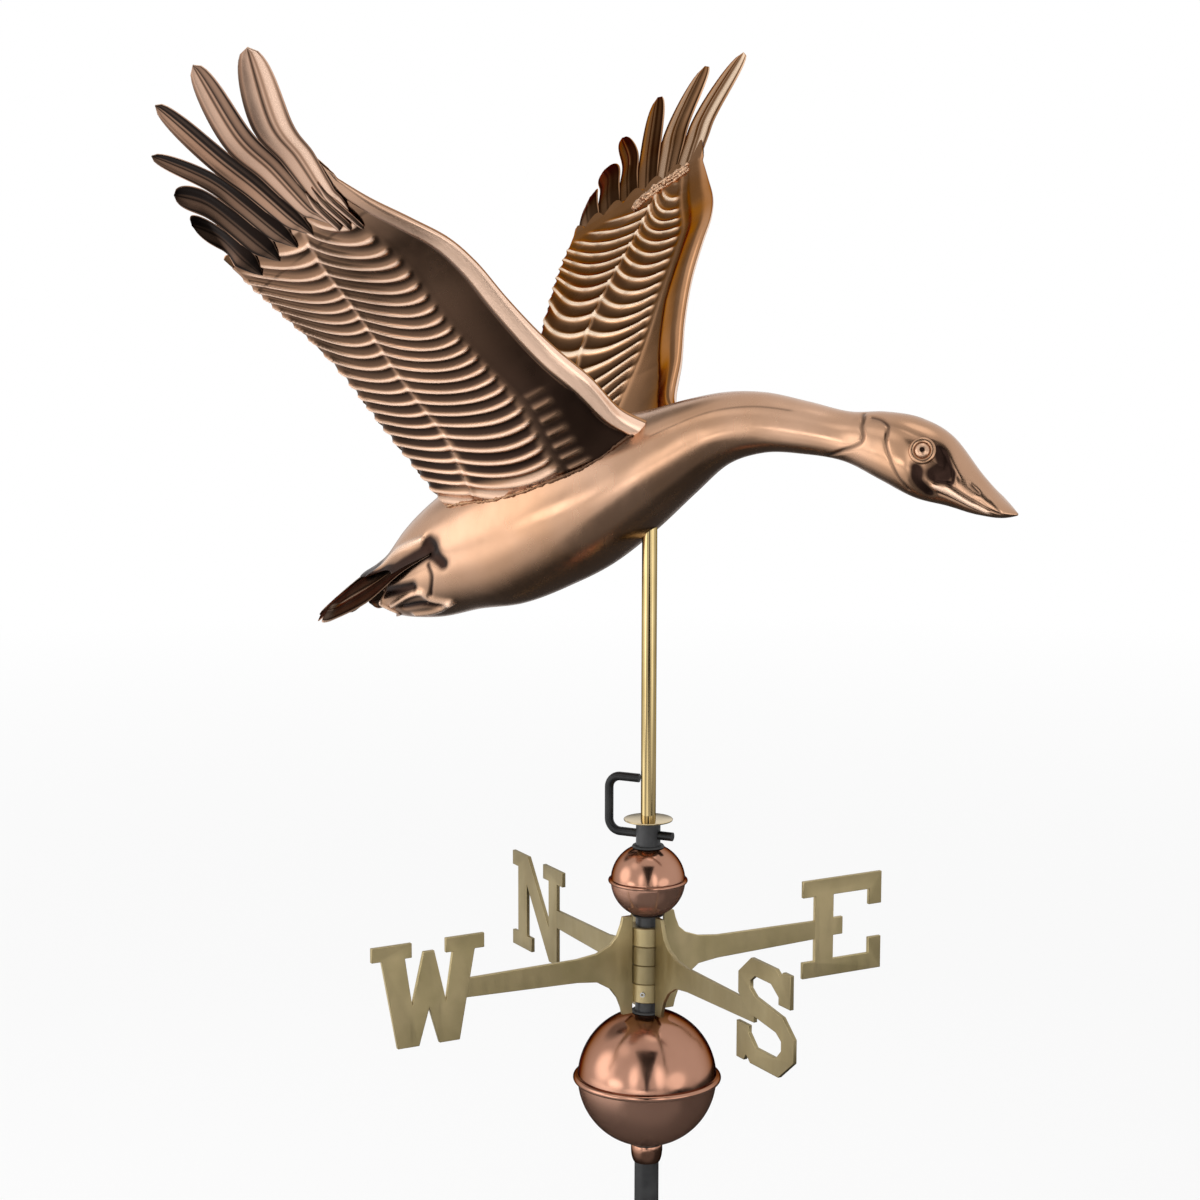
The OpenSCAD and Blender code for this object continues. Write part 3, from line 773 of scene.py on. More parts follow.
@dataclass(frozen=True)
class GooseForm:
    """Outer form of the goose's body: half an ellipse on each side at every station.

    Each station gives its x, the heights of back and belly over the base, and the half width.
    """

    base_z: float
    wall: float = 1.2
    thinnest: float = 0.35
    stations: Rail = Rail((
        (-342, -101, -146, 38), (-290, -65, -133, 36), (-266, -36, -133, 46), (-235, -8, -130, 55),
        (-190, 21, -118, 63), (-140, 47, -108, 69), (-90, 67, -87, 71), (-45, 81, -63, 68),
        (0, 91, -28, 61), (40, 103, 8, 50), (80, 112, 42, 38), (120, 114, 57, 30),
        (165, 108, 59, 25), (210, 101, 54, 23), (245, 103, 40, 28), (280, 99, 26, 31),
        (310, 85, 21, 24), (340, 52, 15, 17), (370, 24, 15, 9), (377, 19, 17, 1.2),
    ))

    def halves(self, x: Array | float) -> tuple[Array, Array, Array]:
        """Read the body's section.

        Args:
            x: Place along the body.

        Returns:
            Middle height, half height and half width.
        """
        row = self.stations.at(x)
        top, low, wide = row[..., 0], row[..., 1], row[..., 2]
        return self.base_z + (top + low) / 2, (top - low) / 2, wide

    def skin(self, x: Array | float, turn: Array | float, out: Array | float = 0.0) -> Array:
        """Point on the left side of the body.

        Args:
            x: Place along the body.
            turn: Degrees up from the side, from -90 at the belly to 90 at the back.
            out: Distance outside the skin.

        Returns:
            Points with x, y and z on the last axis.
        """
        middle, high, wide = self.halves(x)
        angle = np.radians(turn)
        across = np.maximum(wide + out, self.thinnest) * np.cos(angle)
        up = middle + np.maximum(high + out, self.thinnest) * np.sin(angle)
        return np.stack(np.broadcast_arrays(np.asarray(x, float), across, up), -1)

    def girth(self, x: Array | float) -> Array:
        """Mean radius of the body, to turn angles into lengths."""
        _, high, wide = self.halves(x)
        return (high + wide) / 2

    def axes_at(self, x: float, turn: float) -> Array:
        """Axes of a piece that sits on the skin.

        Args:
            x: Place along the body.
            turn: Degrees up from the side.

        Returns:
            Four rows: the point, the way forward, the way round and the way out.
        """
        step = 1.0
        along = unit(self.skin(x + step, turn) - self.skin(x - step, turn))
        around = self.skin(x, turn + step) - self.skin(x, turn - step)
        out = unit(np.cross(around, along))
        return np.array([self.skin(x, turn), along, np.cross(out, along), out])


@dataclass(frozen=True)
class Crease:
    """Line pressed into or raised from the body, as points of x and turn, with its own painted
    shade; a negative shade paints a highlight.
    """

    line: tuple[Point, ...]
    height: float
    width: float
    shade: float = 0.0
    track_steps: int = 90

    def share(self, form: GooseForm, x: Array, turn: Array) -> Array:
        """How much of the crease each point of the skin takes.

        Args:
            form: The body's form.
            x: Places along the body.
            turn: Degrees up from the side.

        Returns:
            Shares from 0 away from the line to 1 on it.
        """
        _, rail = even_rail(self.line)
        track = rail.at(np.linspace(0.0, 1.0, self.track_steps))
        girth = form.girth(track[:, 0])
        nearest = np.full(np.broadcast(x, turn).shape, np.inf)
        for (line_x, line_turn), radius in zip(track, girth, strict=True):
            across = np.radians(turn - line_turn) * radius
            nearest = np.minimum(nearest, np.square(x - line_x) + np.square(across))
        return bell(np.sqrt(nearest), self.width)


@dataclass
class GooseBody:
    """The two pressed halves of body, neck and head, with the creases, the rear edge and the eyes.

    The rear edge lists the x where the shell ends at each turn.
    """

    form: GooseForm
    rear_from: float = -190.0
    head_from: float = 190.0
    nose: float = 376.8
    nose_fade: Point = (377.0, 366.0)
    seam: float = 0.05
    creases: tuple[Crease, ...] = (
        Crease(((227, 74), (231, 40), (234, 9), (212, -26), (194, -58)), -0.9, 2.0, 0.7),
        Crease(
            ((238, 60), (250, 55), (258, 42), (260, 14), (270, -24), (279, -46)), -0.9, 1.8, 0.7
        ),
        Crease(((240, 52), (274, 47), (296, 43), (312, 36), (326, 18)), -0.6, 3.0, 0.25),
        Crease(((310, 34), (314, 12), (306, -8)), -2.8, 7.0, 2.2),
        Crease(((290, -6), (290, -24), (298, -40)), -1.6, 5.5, 1.8),
        Crease(((26, 28), (90, 34), (160, 42)), 0.0, 1.1, 0.5),
        Crease(((322, 22), (322, 0), (314, -13), (305, -19)), -1.2, 1.4, 0.9),
        Crease(((306, -24), (330, -24), (352, -30)), 1.5, 3.6, -1.6),
        Crease(((318, -10), (340, -11), (364, -12)), -0.9, 1.5, 0.9),
        Crease(((308, -36), (333, -37), (356, -48)), -1.2, 1.6, 1.0),
        Crease(((338, 27), (344, 24)), -1.0, 2.0, 0.8),
        Crease(((358, 40), (368, 10), (366, -10)), 0.8, 4.0),
        Crease(((-306, 36), (-272, 28), (-226, 18)), 2.4, 3.2, -1.2),
        Crease(((-342, 46), (-320, 42), (-298, 46)), 0.0, 9.0, 1.2),
        Crease(((-262, -30), (-225, -45)), 0.0, 16.0, 0.55),
        Crease(((-330, 12), (-290, 4), (-250, 4), (-214, 5)), -4.5, 9.0, 1.7),
        Crease(((-218, 13), (-208, 0), (-197, -12)), -2.5, 5.5, 2.0),
        Crease(((-216, -8), (-213, -20), (-220, -36)), -1.2, 2.2, 1.0),
        Crease(((-290, -16), (-262, -20), (-240, -22)), -3.0, 5.0, 1.4),
        Crease(((-276, -40), (-250, -31), (-231, -31), (-221, -42), (-203, -53)), 3.0, 3.4, -1.0),
        Crease(((-262, -46), (-236, -45), (-218, -53)), -2.4, 3.4, 1.1),
        Crease(((-203, -53), (-224, -60), (-252, -62)), 2.6, 3.6, -0.7),
    )
    rear_edge: Rail = Rail((
        (-90, -292), (-76, -286), (-62, -276), (-48, -284), (-34, -292), (-15, -284), (5, -272),
        (20, -284), (30, -298), (40, -312), (50, -320), (62, -321), (90, -317),
    ))
    # The raised lip at the rear edge takes a painted highlight, and the shell along the edge above
    # it takes painted shade.
    lip_h: float = 2.0
    lip_row: float = 0.6
    lip_rows: float = 1.3
    lip_painted_highlight: float = 0.6
    lip_turns: Point = (-6.0, 8.0)
    rear_painted_shade: float = 1.6
    rear_painted_shade_rows: float = 6.0
    rear_painted_shade_turns: Point = (4.0, 18.0)
    eye_x: float = 294.0
    eye_turn: float = 24.0
    eye_r: float = 7.0
    eye_foot: Point = (1.5, -2.0)
    eye_seat: Point = (0.4, 0.4)
    eye_bulge: float = 0.55
    eye_arc: Point = (0.15, 1.2)
    eye_shades: Point = (1.0, -0.3)
    pupil: tuple[Point, ...] = ((1.9, 4.0), (1.6, 3.3), (0.0, 3.1))
    ring_roll: float = 3.0
    ring_at: Point = (2.6, -1.0)
    eye_steps: int = 64
    ring_steps: int = 19
    ball_steps: int = 8
    rear_rows: int = 72
    body_rows: int = 80
    head_rows: int = 192
    turn_steps: int = 108
    inner_stride: int = 4

    def grid(self) -> tuple[Array, Array]:
        """Places and turns of the shell's points, with the rear edge cut forward at the sides.

        Returns:
            Grids of x and of turn.
        """
        turn = np.linspace(-90.0, 90.0, self.turn_steps + 1)[None, :]
        share = np.linspace(1.0, 0.0, self.rear_rows, endpoint=False)[:, None]
        rear = self.rear_from + (self.rear_edge.at(turn) - self.rear_from) * share
        body = np.linspace(self.rear_from, self.head_from, self.body_rows, endpoint=False)
        head = np.linspace(self.head_from, self.nose, self.head_rows + 1)
        ahead = np.concatenate([body, head])[:, None] + 0 * turn
        x = np.concatenate([rear, ahead])
        return x, np.broadcast_to(turn, x.shape)

    def build_half(self, side: Side) -> Piece:
        """Build one half of the shell.

        Args:
            side: Side of the goose.

        Returns:
            The undressed half.
        """
        x, turn = self.grid()
        pressed = [(crease, crease.share(self.form, x, turn)) for crease in self.creases]
        relief = sum(crease.height * share for crease, share in pressed)
        relief = relief * smooth(*self.nose_fade, x)
        # Creases paint light onto the shell: painted shade in their grooves, dark patches by the eye
        # and the tail that stand in for shade and dark reflections, and painted highlights on raised
        # lines.
        hollow = np.clip(sum(crease.shade * share for crease, share in pressed), -1, 1)
        row = np.arange(len(x))[:, None]
        lip = self.lip_h * bell(row - self.lip_row, self.lip_rows)
        lip = lip * (1 - smooth(*self.lip_turns, turn))
        # Painted shade along the rear edge from the side up, and a painted highlight on the raised
        # lip below.
        rear_painted_shade = self.rear_painted_shade * bell(row, self.rear_painted_shade_rows) * smooth(*self.rear_painted_shade_turns, turn)
        hollow = np.clip(hollow - self.lip_painted_highlight * lip + rear_painted_shade, -1, 1)
        outer = self.form.skin(x, turn, relief + lip)
        inner = self.form.skin(x, turn, np.minimum(relief, 0.0) - self.form.wall)
        for points in (outer, inner):
            points[..., 1] = (np.maximum(points[..., 1], 0.0) + self.seam) * side.value
        draft = MeshDraft()
        draft.add_sheet(outer, inner, hollow, self.inner_stride)
        return draft.finish(f"goose_body_{side.name.lower()}", Sharp.SHEET)

    def build_eyes(self) -> Piece:
        """Build both eyes: a rolled ring, a ball and a sunk pupil.

        Returns:
            The undressed pair.
        """
        r, roll = self.eye_r, self.ring_roll
        ring_out, ring_z = self.ring_at
        turns = np.linspace(0, math.tau, self.ring_steps + 1)[:-1]
        ring = [(r + ring_out + roll * math.cos(a), roll * math.sin(a) + ring_z) for a in turns]
        foot_out, foot_z = self.eye_foot
        seat_out, seat_z = self.eye_seat
        foot = [(0.0, foot_z), (r + foot_out, foot_z), (r + seat_out, seat_z)]
        turns = np.linspace(*self.eye_arc, self.ball_steps)
        ball = [(r * math.cos(a), seat_z + r * self.eye_bulge * math.sin(a)) for a in turns]
        # Painted shade in the groove round the ball and in the pupil, a painted highlight on the
        # ball.
        dark, light = self.eye_shades
        shades = [dark] * len(foot) + [light] * len(ball) + [dark] * len(self.pupil)
        draft = MeshDraft()
        for side in Side:
            axes = self.form.axes_at(self.eye_x, self.eye_turn) * (1, side.value, 1)
            if side is Side.RIGHT:
                axes[2] *= -1
            draft.add_lathe(ring, axes, self.eye_steps)
            draft.add_lathe([*foot, *ball, *self.pupil], axes, self.eye_steps, shades)
        return draft.finish("goose_eyes", Sharp.SMALL)

    def dress(self, finish: Material) -> None:
        """Build the halves and the eyes and give them their finish.

        Args:
            finish: Copper of the body.
        """
        for side in Side:
            half = self.build_half(side)
            seat(half, (finish,), Body.FIGURE, "body_copper", f"body_{side.name.lower()}")
        seat(self.build_eyes(), (finish,), Body.FIGURE, "body_copper", "eye_beads")


@dataclass(frozen=True)
class RibPlan:
    """Where the band, the panel and the ribs lie on one face of a wing, and how light and shade are
    painted on them.

    Rails run from the root, 0, to the wrist, 1; they hold shares of the chord from the front edge.
    """

    start: Rail
    meet: Rail
    front_lean: Rail
    rear_lean: Rail
    curl: float
    band: float
    band_shade: float
    brow: float
    cord: float
    panel_shade: float
    scales: float
    wrist_light: float
    end: float


LOWER_RIBS = RibPlan(
    start=Rail(((0, 0.32), (0.25, 0.27), (0.66, 0.28), (0.82, 0.21), (1, 0.12))),
    meet=Rail(((0, 0.8), (0.2, 0.73), (0.5, 0.72), (0.7, 0.67), (0.85, 0.58), (1, 0.4))),
    front_lean=Rail(((0, 0.08), (0.25, 0.09), (0.45, 0.12), (0.65, 0.16), (1, 0.17))),
    rear_lean=Rail(((0, 0.03), (0.3, 0.075), (0.55, 0.08), (0.8, 0.16), (1, 0.17))),
    curl=0.045, band=0.075, band_shade=-1.3, brow=0.06, cord=0.55,
    panel_shade=0.95, scales=1.0, wrist_light=1.05, end=0.985,
)
UPPER_RIBS = RibPlan(
    start=Rail((
        (0, 0.44), (0.15, 0.38), (0.3, 0.26), (0.5, 0.18), (0.7, 0.16), (0.85, 0.19), (1, 0.15),
    )),
    meet=Rail(((0, 0.76), (0.2, 0.69), (0.5, 0.63), (0.7, 0.53), (0.85, 0.43), (1, 0.3))),
    front_lean=Rail((
        (0, -0.14), (0.15, -0.09), (0.3, -0.01), (0.45, 0.07), (0.65, 0.14), (1, 0.16),
    )),
    rear_lean=Rail(((0, 0.03), (0.3, 0.075), (0.55, 0.08), (0.8, 0.16), (1, 0.17))),
    curl=0.035, band=0.12, band_shade=0.0, brow=0.3, cord=0.85,
    panel_shade=0.45, scales=0.0, wrist_light=0.8, end=0.97,
)


@dataclass
class RibRelief:
    """Relief of one face, read at places s from root to wrist and t from front to rear edge."""

    plan: RibPlan
    rib_count: Rail
    s: Array
    t: Array
    band: Array
    lean_powers: Spot = (1.4, 2.0, 3.0)
    crest_round: float = 0.01
    crest_scale: float = 0.9
    crest_power: float = 2.4
    rib_rise: float = 0.14
    valley: float = 0.6
    valley_wide: float = 0.02
    rib_fade: float = 0.06
    cord_fade: float = 0.04
    root_fade: float = 0.05
    cord_wide: float = 0.014
    cord_least: float = 0.35
    cord_beads: float = 0.65
    cord_shade: float = 0.55
    line_wide: float = 0.012
    brow_shade: float = 1.6
    step_h: float = 0.45
    step_from: float = 0.45
    scale_front: Point = (0.13, 0.1)
    scale_rear: Point = (0.03, 0.01)
    scale_end: Point = (0.2, 0.28)
    scale_h: float = 0.5
    scale_light: float = 1.2
    ridge_span: Point = (0.2, 0.92)
    panel_front: Point = (0.95, 1.3)
    panel_fade: float = 0.04
    band_fade: Point = (0.8, 1.05)
    band_end: Point = (0.62, 0.9)
    band_end_shade: float = 0.85
    fold_at: float = 1.15
    fold_shade: float = 0.5
    root_span: Point = (0.03, 0.08)
    root_light: float = 0.5

    def __post_init__(self) -> None:
        """Read the plan at the places, and count the ribs along the wing."""
        plan, s, t = self.plan, self.s, self.t
        front_power, rear_power, curl_power = self.lean_powers
        self.start, self.meet = plan.start.at(s), plan.meet.at(s)
        self.front = np.clip((t - self.start) / (self.meet - self.start), 0, 1)
        rear = np.clip((t - self.meet) / (1 - self.meet), 0, 1)
        lean = plan.front_lean.at(s) * self.front**front_power
        lean = lean + plan.rear_lean.at(s) * rear**rear_power
        lean = lean + plan.curl * (1 - self.front) ** curl_power
        self.count = self.rib_count.at(s - lean)
        gap = self.gap(self.count)
        crest = np.clip(1 - np.sqrt(np.square(gap) + self.crest_round), 0, 1)
        self.flute = np.power(crest / self.crest_scale, self.crest_power)
        valley = 1 - self.valley * bell(t - self.meet, self.valley_wide)
        self.inside = smooth(0.0, self.rib_rise, self.front) * valley * self.before(self.rib_fade)

    def gap(self, count: Array) -> Array:
        """Distance from the nearest rib line, 0 on it and 1 midway."""
        return 2 * np.abs(count - np.round(count))

    def before(self, fade: float) -> Array:
        """Share that is 1 along the ribs and fades to 0 where they end."""
        return 1 - smooth(self.plan.end - fade, self.plan.end, self.s)

    def cord(self) -> Array:
        """Height share of the beaded cord where front and rear ribs meet.

        Returns:
            Shares from 0 to 1.
        """
        beads = self.cord_least + self.cord_beads * self.flute
        cord = self.plan.cord * bell(self.t - self.meet, self.cord_wide) * beads
        return cord * smooth(0.0, self.root_fade, self.s) * self.before(self.cord_fade)

    def brow(self) -> Array:
        """Height share of the raised line where the ribs start."""
        line = self.plan.brow * bell(self.t - self.start, self.line_wide)
        return line * smooth(0.0, self.root_fade, self.s)

    def scales(self) -> Array:
        """Height share of the small scales by the root, ahead of the ribs.

        Returns:
            Shares from 0 to 1.
        """
        rise = smooth(*(self.start - edge for edge in self.scale_front), self.t)
        fall = smooth(*(self.start - edge for edge in self.scale_rear), self.t)
        patch = self.plan.scales * (rise * (1 - fall)) * (1 - smooth(*self.scale_end, self.s))
        return patch * np.square(np.clip(1 - self.gap(self.count + 0.5), 0, 1))

    def height(self) -> Array:
        """Sum the raised forms.

        Returns:
            Height shares of the relief.
        """
        rear = smooth(self.meet, self.meet + self.line_wide, self.t)
        step = self.step_h * smooth(self.step_from, 1.0, self.front) * (1 - rear)
        height = self.flute * self.inside + self.cord() + self.brow()
        return height + self.scale_h * self.scales() + step * self.before(self.rib_fade)

    def hollow(self) -> Array:
        """Paint light and shade on the forms: a painted highlight on crests, cord, brow and front
        band, patina and painted shade in the flutes, painted shade on the panel and in the fold
        behind the band.

        Returns:
            Shares of patina and painted light, from -1 to 1.
        """
        plan, s, t, band = self.plan, self.s, self.t, self.band
        panel = smooth(*(share * band for share in self.panel_front), t)
        panel = panel * (1 - smooth(self.start, self.start + self.panel_fade, t))
        ridge = 1.0 - 2.0 * smooth(*self.ridge_span, self.flute)
        hollow = ridge * self.inside - self.cord() / self.cord_shade - self.brow_shade * self.brow()
        front_band = 1 - smooth(*(share * band for share in self.band_fade), t)
        front_band = front_band * (1 - self.band_end_shade * smooth(*self.band_end, s))
        # Painted shade on the flat panel, a painted highlight on the front band, and a dark fold
        # line behind it.
        hollow = hollow + plan.panel_shade * panel * (1 - self.scale_light * self.scales())
        hollow = hollow + plan.band_shade * front_band
        hollow = hollow + self.fold_shade * bell(t - self.fold_at * band, self.line_wide)
        root = (1 - smooth(*self.root_span, s)) * self.inside
        hollow = hollow * (1 - root) - self.root_light * root
        return np.clip(hollow, -1, 1 - plan.wrist_light * s * s)


@dataclass
class Wing:
    """One wing: two pressed skins with a rolled front edge and ribs, and six primaries.

    The tables hold points of the left wing over the body's base: lead and trail along the front
    and rear edge, hand_split where each primary stands free, and hand_tips at its tip.
    """

    form: GooseForm
    side: Side
    swell: float
    swell_way: Spot = (0.88, 0.06, 0.48)
    swell_at: float = 0.17
    swell_wide: float = 0.13
    wall: float = 0.8
    edge_half: float = 7.0
    rib_h: float = 2.4
    fringe: float = 0.035
    lobe_count: float = 6.5
    lobe_shift: float = 0.15
    lobe_span: Point = (0.06, 0.14)
    tongue: float = 2.4
    tongue_at: float = 0.045
    tongue_wide: float = 0.035
    scallop: Point = (3.2, 1.2)
    scallop_chord: Point = (0.955, 1.0)
    scallop_root: Point = (0.02, 0.06)
    bow: float = 36.0
    bow_rise: float = 4.0
    bow_fall: float = 0.7
    hand_front: Spot = (-30.0, 120.0, 125.0)
    hand_back: Spot = (-45.0, 130.0, 110.0)
    hand_reach: float = 2.2
    hand_sunk: float = 3.3
    hand_feet: Spot = (0.93, 0.965, 1.0)
    hand_layer: float = 0.9
    root_front: float = 15.0
    root_back: float = -203.0
    root_sunk: float = 2.5
    root_blend: float = 0.1
    band_most: float = 0.62
    band_root: float = 0.62
    band_grow: float = 0.38
    band_span: Point = (0.02, 0.3)
    edge_share: float = 0.14
    steps: int = 264
    edge_steps: int = 32
    rib_steps: int = 96
    inner_stride: int = 4
    up: Array = field(default_factory=lambda: unit(np.array([-0.25, -0.71, 0.65])))
    root_turn: Rail = Rail(((0, 50), (0.15, 30), (0.4, 23), (0.7, 26), (1, 41)))
    lead: Rail = Rail((
        (0.1, -8, 62, 95), (0.22, -22, 100, 129), (0.35, -37, 134, 165), (0.5, -52, 178, 207),
        (0.62, -60, 215, 240), (0.72, -68, 247, 262), (0.82, -84, 281, 280), (0.92, -107, 313, 299),
        (1, -125, 335, 316),
    ))
    trail: Rail = Rail((
        (0.3, -219, 120, 67), (0.63, -238, 202, 152), (0.81, -252, 249, 191), (1, -264, 303, 232),
    ))
    plans: dict[Face, RibPlan] = field(
        default_factory=lambda: {Face.UPPER: UPPER_RIBS, Face.LOWER: LOWER_RIBS}
    )
    rib_count: Rail = Rail((
        (-0.4, -10.6), (0, 0.2), (0.18, 5), (0.36, 10), (0.46, 13), (0.57, 16), (0.7, 19),
        (0.85, 22), (1, 24),
    ))
    hand_v: tuple[float, ...] = (0.05, 0.22, 0.36, 0.5, 0.64, 0.8, 0.95)
    hand_split: tuple[Spot, ...] = (
        (-133, 387, 368), (-171, 399, 362), (-204, 393, 343), (-226, 380, 321), (-243, 371, 305),
        (-258, 350, 278), (-263, 318, 246),
    )
    # Painted light on each primary's front and back vane: a highlight on the first, shade that
    # deepens towards the last.
    hand_shades: tuple[Point, ...] = (
        (-0.8, -0.35), (0.3, -0.35), (0.9, 0.0), (1.0, 0.5), (1.0, 0.7), (1.0, 0.8),
    )
    hand_tips: tuple[Spot, ...] = (
        (-136, 447, 428), (-187, 455, 413), (-238, 442, 379), (-266, 413, 335), (-269, 379, 300),
        (-270, 353, 272),
    )

    @property
    def tag(self) -> str:
        """Name of the wing's side."""
        return self.side.name.lower()

    @property
    def lift(self) -> Array:
        """Offset of the wing's tables from the part's origin."""
        return np.array([0.0, 0.0, self.form.base_z])

    def root_x(self, t: Array | float) -> Array:
        """Place of the root line along the body."""
        return self.root_front + (self.root_back - self.root_front) * np.asarray(t, float)

    def root(self, t: Array | float, out: float) -> Array:
        """Point of the root line, at a distance outside the body."""
        return self.form.skin(self.root_x(t), self.root_turn.at(t), out)

    def edge(self, rail: Rail, t: float) -> Rail:
        """An edge of the wing, carried down to the root line."""
        root = self.root(t, -self.root_sunk) - self.lift
        return Rail(((0.0, *root.tolist()), *rail.rows))

    def middle(self, s: Array, t: Array) -> Array:
        """Surface midway between the skins.

        Args:
            s: Places from the root, 0, to the wrist, 1.
            t: Places from the front edge, 0, to the rear edge, 1.

        Returns:
            Points with x, y and z on the last axis.
        """
        s, t = np.broadcast_arrays(np.asarray(s, float), np.asarray(t, float))
        s1, t1 = s[..., None], t[..., None]
        front = self.edge(self.lead, 0.0).at(s) + self.lift
        swell = np.array(self.swell_way) * self.swell
        front = front + swell * bell(s1 - self.swell_at, self.swell_wide)
        back = self.edge(self.trail, 1.0).at(s) + self.lift
        first, last, here = (self.root(place, -self.root_sunk) for place in (0.0, 1.0, t))
        sag = here - (first * (1 - t1) + last * t1)
        camber = self.bow * t * (1 - t) * np.clip(self.bow_rise * s, 0, 1) * (1 - self.bow_fall * s)
        surface = front * (1 - t1) + back * t1 + np.square(1 - s1) * sag
        surface = surface + self.up * camber[..., None]
        beyond = np.clip(s1 - 1.0, 0.0, 1.0)
        ahead = np.array(self.hand_front) * (1 - t1) + np.array(self.hand_back) * t1
        return surface + beyond * ahead * self.hand_reach

    def band_width(self, s: Array, face: Face) -> Array:
        """Share of the chord that the rolled front band takes.

        Args:
            s: Places from the root to the wrist.
            face: Face of the wing.

        Returns:
            Shares of the chord.
        """
        plan = self.plans[face]
        most = np.minimum(plan.band, self.band_most * plan.start.at(s))
        return most * (self.band_root + self.band_grow * smooth(*self.band_span, s))

    def roll(self, s: Array, t: Array, face: Face) -> Array:
        """Shape the gap between the skins: a rolled front edge that falls to a flat panel.

        Args:
            s: Places from the root to the wrist.
            t: Places from the front edge to the rear edge.
            face: Face of the wing.

        Returns:
            Shares of the largest gap.
        """
        top, run, flat, fall, ease, seam = 0.45, 0.75, 0.2, 0.8, 0.25, 0.02
        band = t / self.band_width(s, face)
        nose = np.sqrt(np.clip(1 - np.square(1 - np.clip(band / top, 0, 1)), 0, 1))
        back = np.clip((band - top) / run, 0, 1)
        drop = flat + fall * np.sqrt(np.clip(1 - np.square(back), 0, 1)) * (1 - ease * back)
        closing = np.sqrt(np.clip((1 - t) / seam, 0, 1))
        return np.where(band < top, nose, drop) * closing

    def gap(self, s: Array, t: Array, face: Face) -> Array:
        """Half gap between the skins, wide enough at the wrist for the feet of the primaries.

        Args:
            s: Places from the root to the wrist.
            t: Places from the front edge to the rear edge.
            face: Face of the wing.

        Returns:
            Distances from the mid surface.
        """
        least, taper, hand_taper, hand_span = 0.05, 0.5, 0.4, (0.84, 1.06)
        feet, feet_from, rim = 0.95, 0.9, 0.01
        half = self.edge_half * (1 - taper * s - hand_taper * smooth(*hand_span, s))
        gap = least + half * self.roll(s, t, face)
        by_feet = (s > feet_from) & (t > rim) & (t < 1 - rim)
        return np.where(by_feet, np.maximum(gap, feet), gap)

    def offset_way(self, s: Array, t: Array) -> Array:
        """Way out of the mid surface: round the body at the root, the wing's normal beyond it.

        Args:
            s: Places from the root to the wrist.
            t: Places from the front edge to the rear edge.

        Returns:
            Unit vectors.
        """
        x = self.root_x(t)
        _, high, wide = self.form.halves(x)
        turn = np.radians(self.root_turn.at(t))
        way = unit(np.stack([np.zeros_like(x), -wide * np.sin(turn), high * np.cos(turn)], -1))
        share = np.clip(s / self.root_blend, 0, 1)[..., None]
        return unit(way * (1 - share) + self.up * share)

    def skin_places(self, face: Face) -> tuple[Array, Array]:
        """Places of a skin's points, with its fringe of lobes and tongue past the wrist.

        Args:
            face: Face of the wing.

        Returns:
            Grids of s and of t.
        """
        u = np.linspace(0.0, 1.0, self.steps + 1)[:, None]
        edge = np.linspace(0.0, 1.0, self.edge_steps, endpoint=False)
        ribs = np.linspace(self.edge_share, 1.0, self.rib_steps + 1)
        t = np.concatenate([self.edge_share * np.square(edge), ribs])[None, :]
        fringe = self.tongue * bell(t - self.tongue_at, self.tongue_wide)
        if face is Face.UPPER:
            lobes = np.abs(np.sin(math.pi * (self.lobe_count * t + self.lobe_shift)))
            fringe = lobes * smooth(*self.lobe_span, t) + fringe
        return np.broadcast_arrays(u * (1.0 + self.fringe * fringe), t)

    def build_skin(self, face: Face) -> Piece:
        """Build one skin.

        Args:
            face: Face of the wing.

        Returns:
            The undressed skin.
        """
        s, t = self.skin_places(face)
        relief = RibRelief(self.plans[face], self.rib_count, s, t, self.band_width(s, face))
        height, gap = relief.height(), self.gap(s, t, face)
        middle, way = self.middle(s, t), self.offset_way(s, t)
        chord = unit(self.middle(s, np.ones_like(t)) - self.middle(s, np.zeros_like(t)))
        out_by, back_by = self.scallop
        scallop = (out_by * height - back_by) * smooth(*self.scallop_chord, t)
        scallop = scallop * smooth(*self.scallop_root, s)
        middle = middle + chord * scallop[..., None]
        seam, least = 0.015, 0.25
        closing = np.clip((1 - t) / seam, least, 1)
        out = gap + self.wall + self.rib_h * height * closing
        outer = middle + way * (face.value * out)[..., None]
        inner = middle + way * (face.value * gap)[..., None]
        for points in (outer, inner):
            points[..., 1] *= self.side.value
        draft = MeshDraft()
        draft.add_sheet(outer, inner, relief.hollow(), self.inner_stride)
        return draft.finish(f"skin_{self.tag}_{face.name.lower()}", Sharp.SHEET)

    def build_primaries(self) -> Piece:
        """Build the six long feathers, each a blade with a quill line and rolled rims.

        Returns:
            The undressed feathers and the three small ones over their feet, as one piece.
        """
        v = np.array(self.hand_v)
        split, tips = np.array(self.hand_split) + self.lift, np.array(self.hand_tips) + self.lift
        sunk = -self.up * self.hand_sunk
        feet = [self.middle(np.full_like(v, s), v) + sunk for s in self.hand_feet]
        wrist = self.middle(np.ones_like(v), v)
        rows = np.stack([*feet, (wrist + split) / 2, split])
        draft = MeshDraft()
        blade = FeatherBlade(self.up, self.side, foot=0.42, ease=(0.4, 0.8))
        for k, (tip, shades) in enumerate(zip(tips, self.hand_shades, strict=True)):
            layer = self.hand_layer * (k - (len(tips) - 1) / 2)
            blade.add(draft, rows[:, k], rows[:, k + 1], tip, layer, shades)
        self.add_coverts(draft, sunk)
        return draft.finish(f"feathers_{self.tag}", Sharp.SMALL)

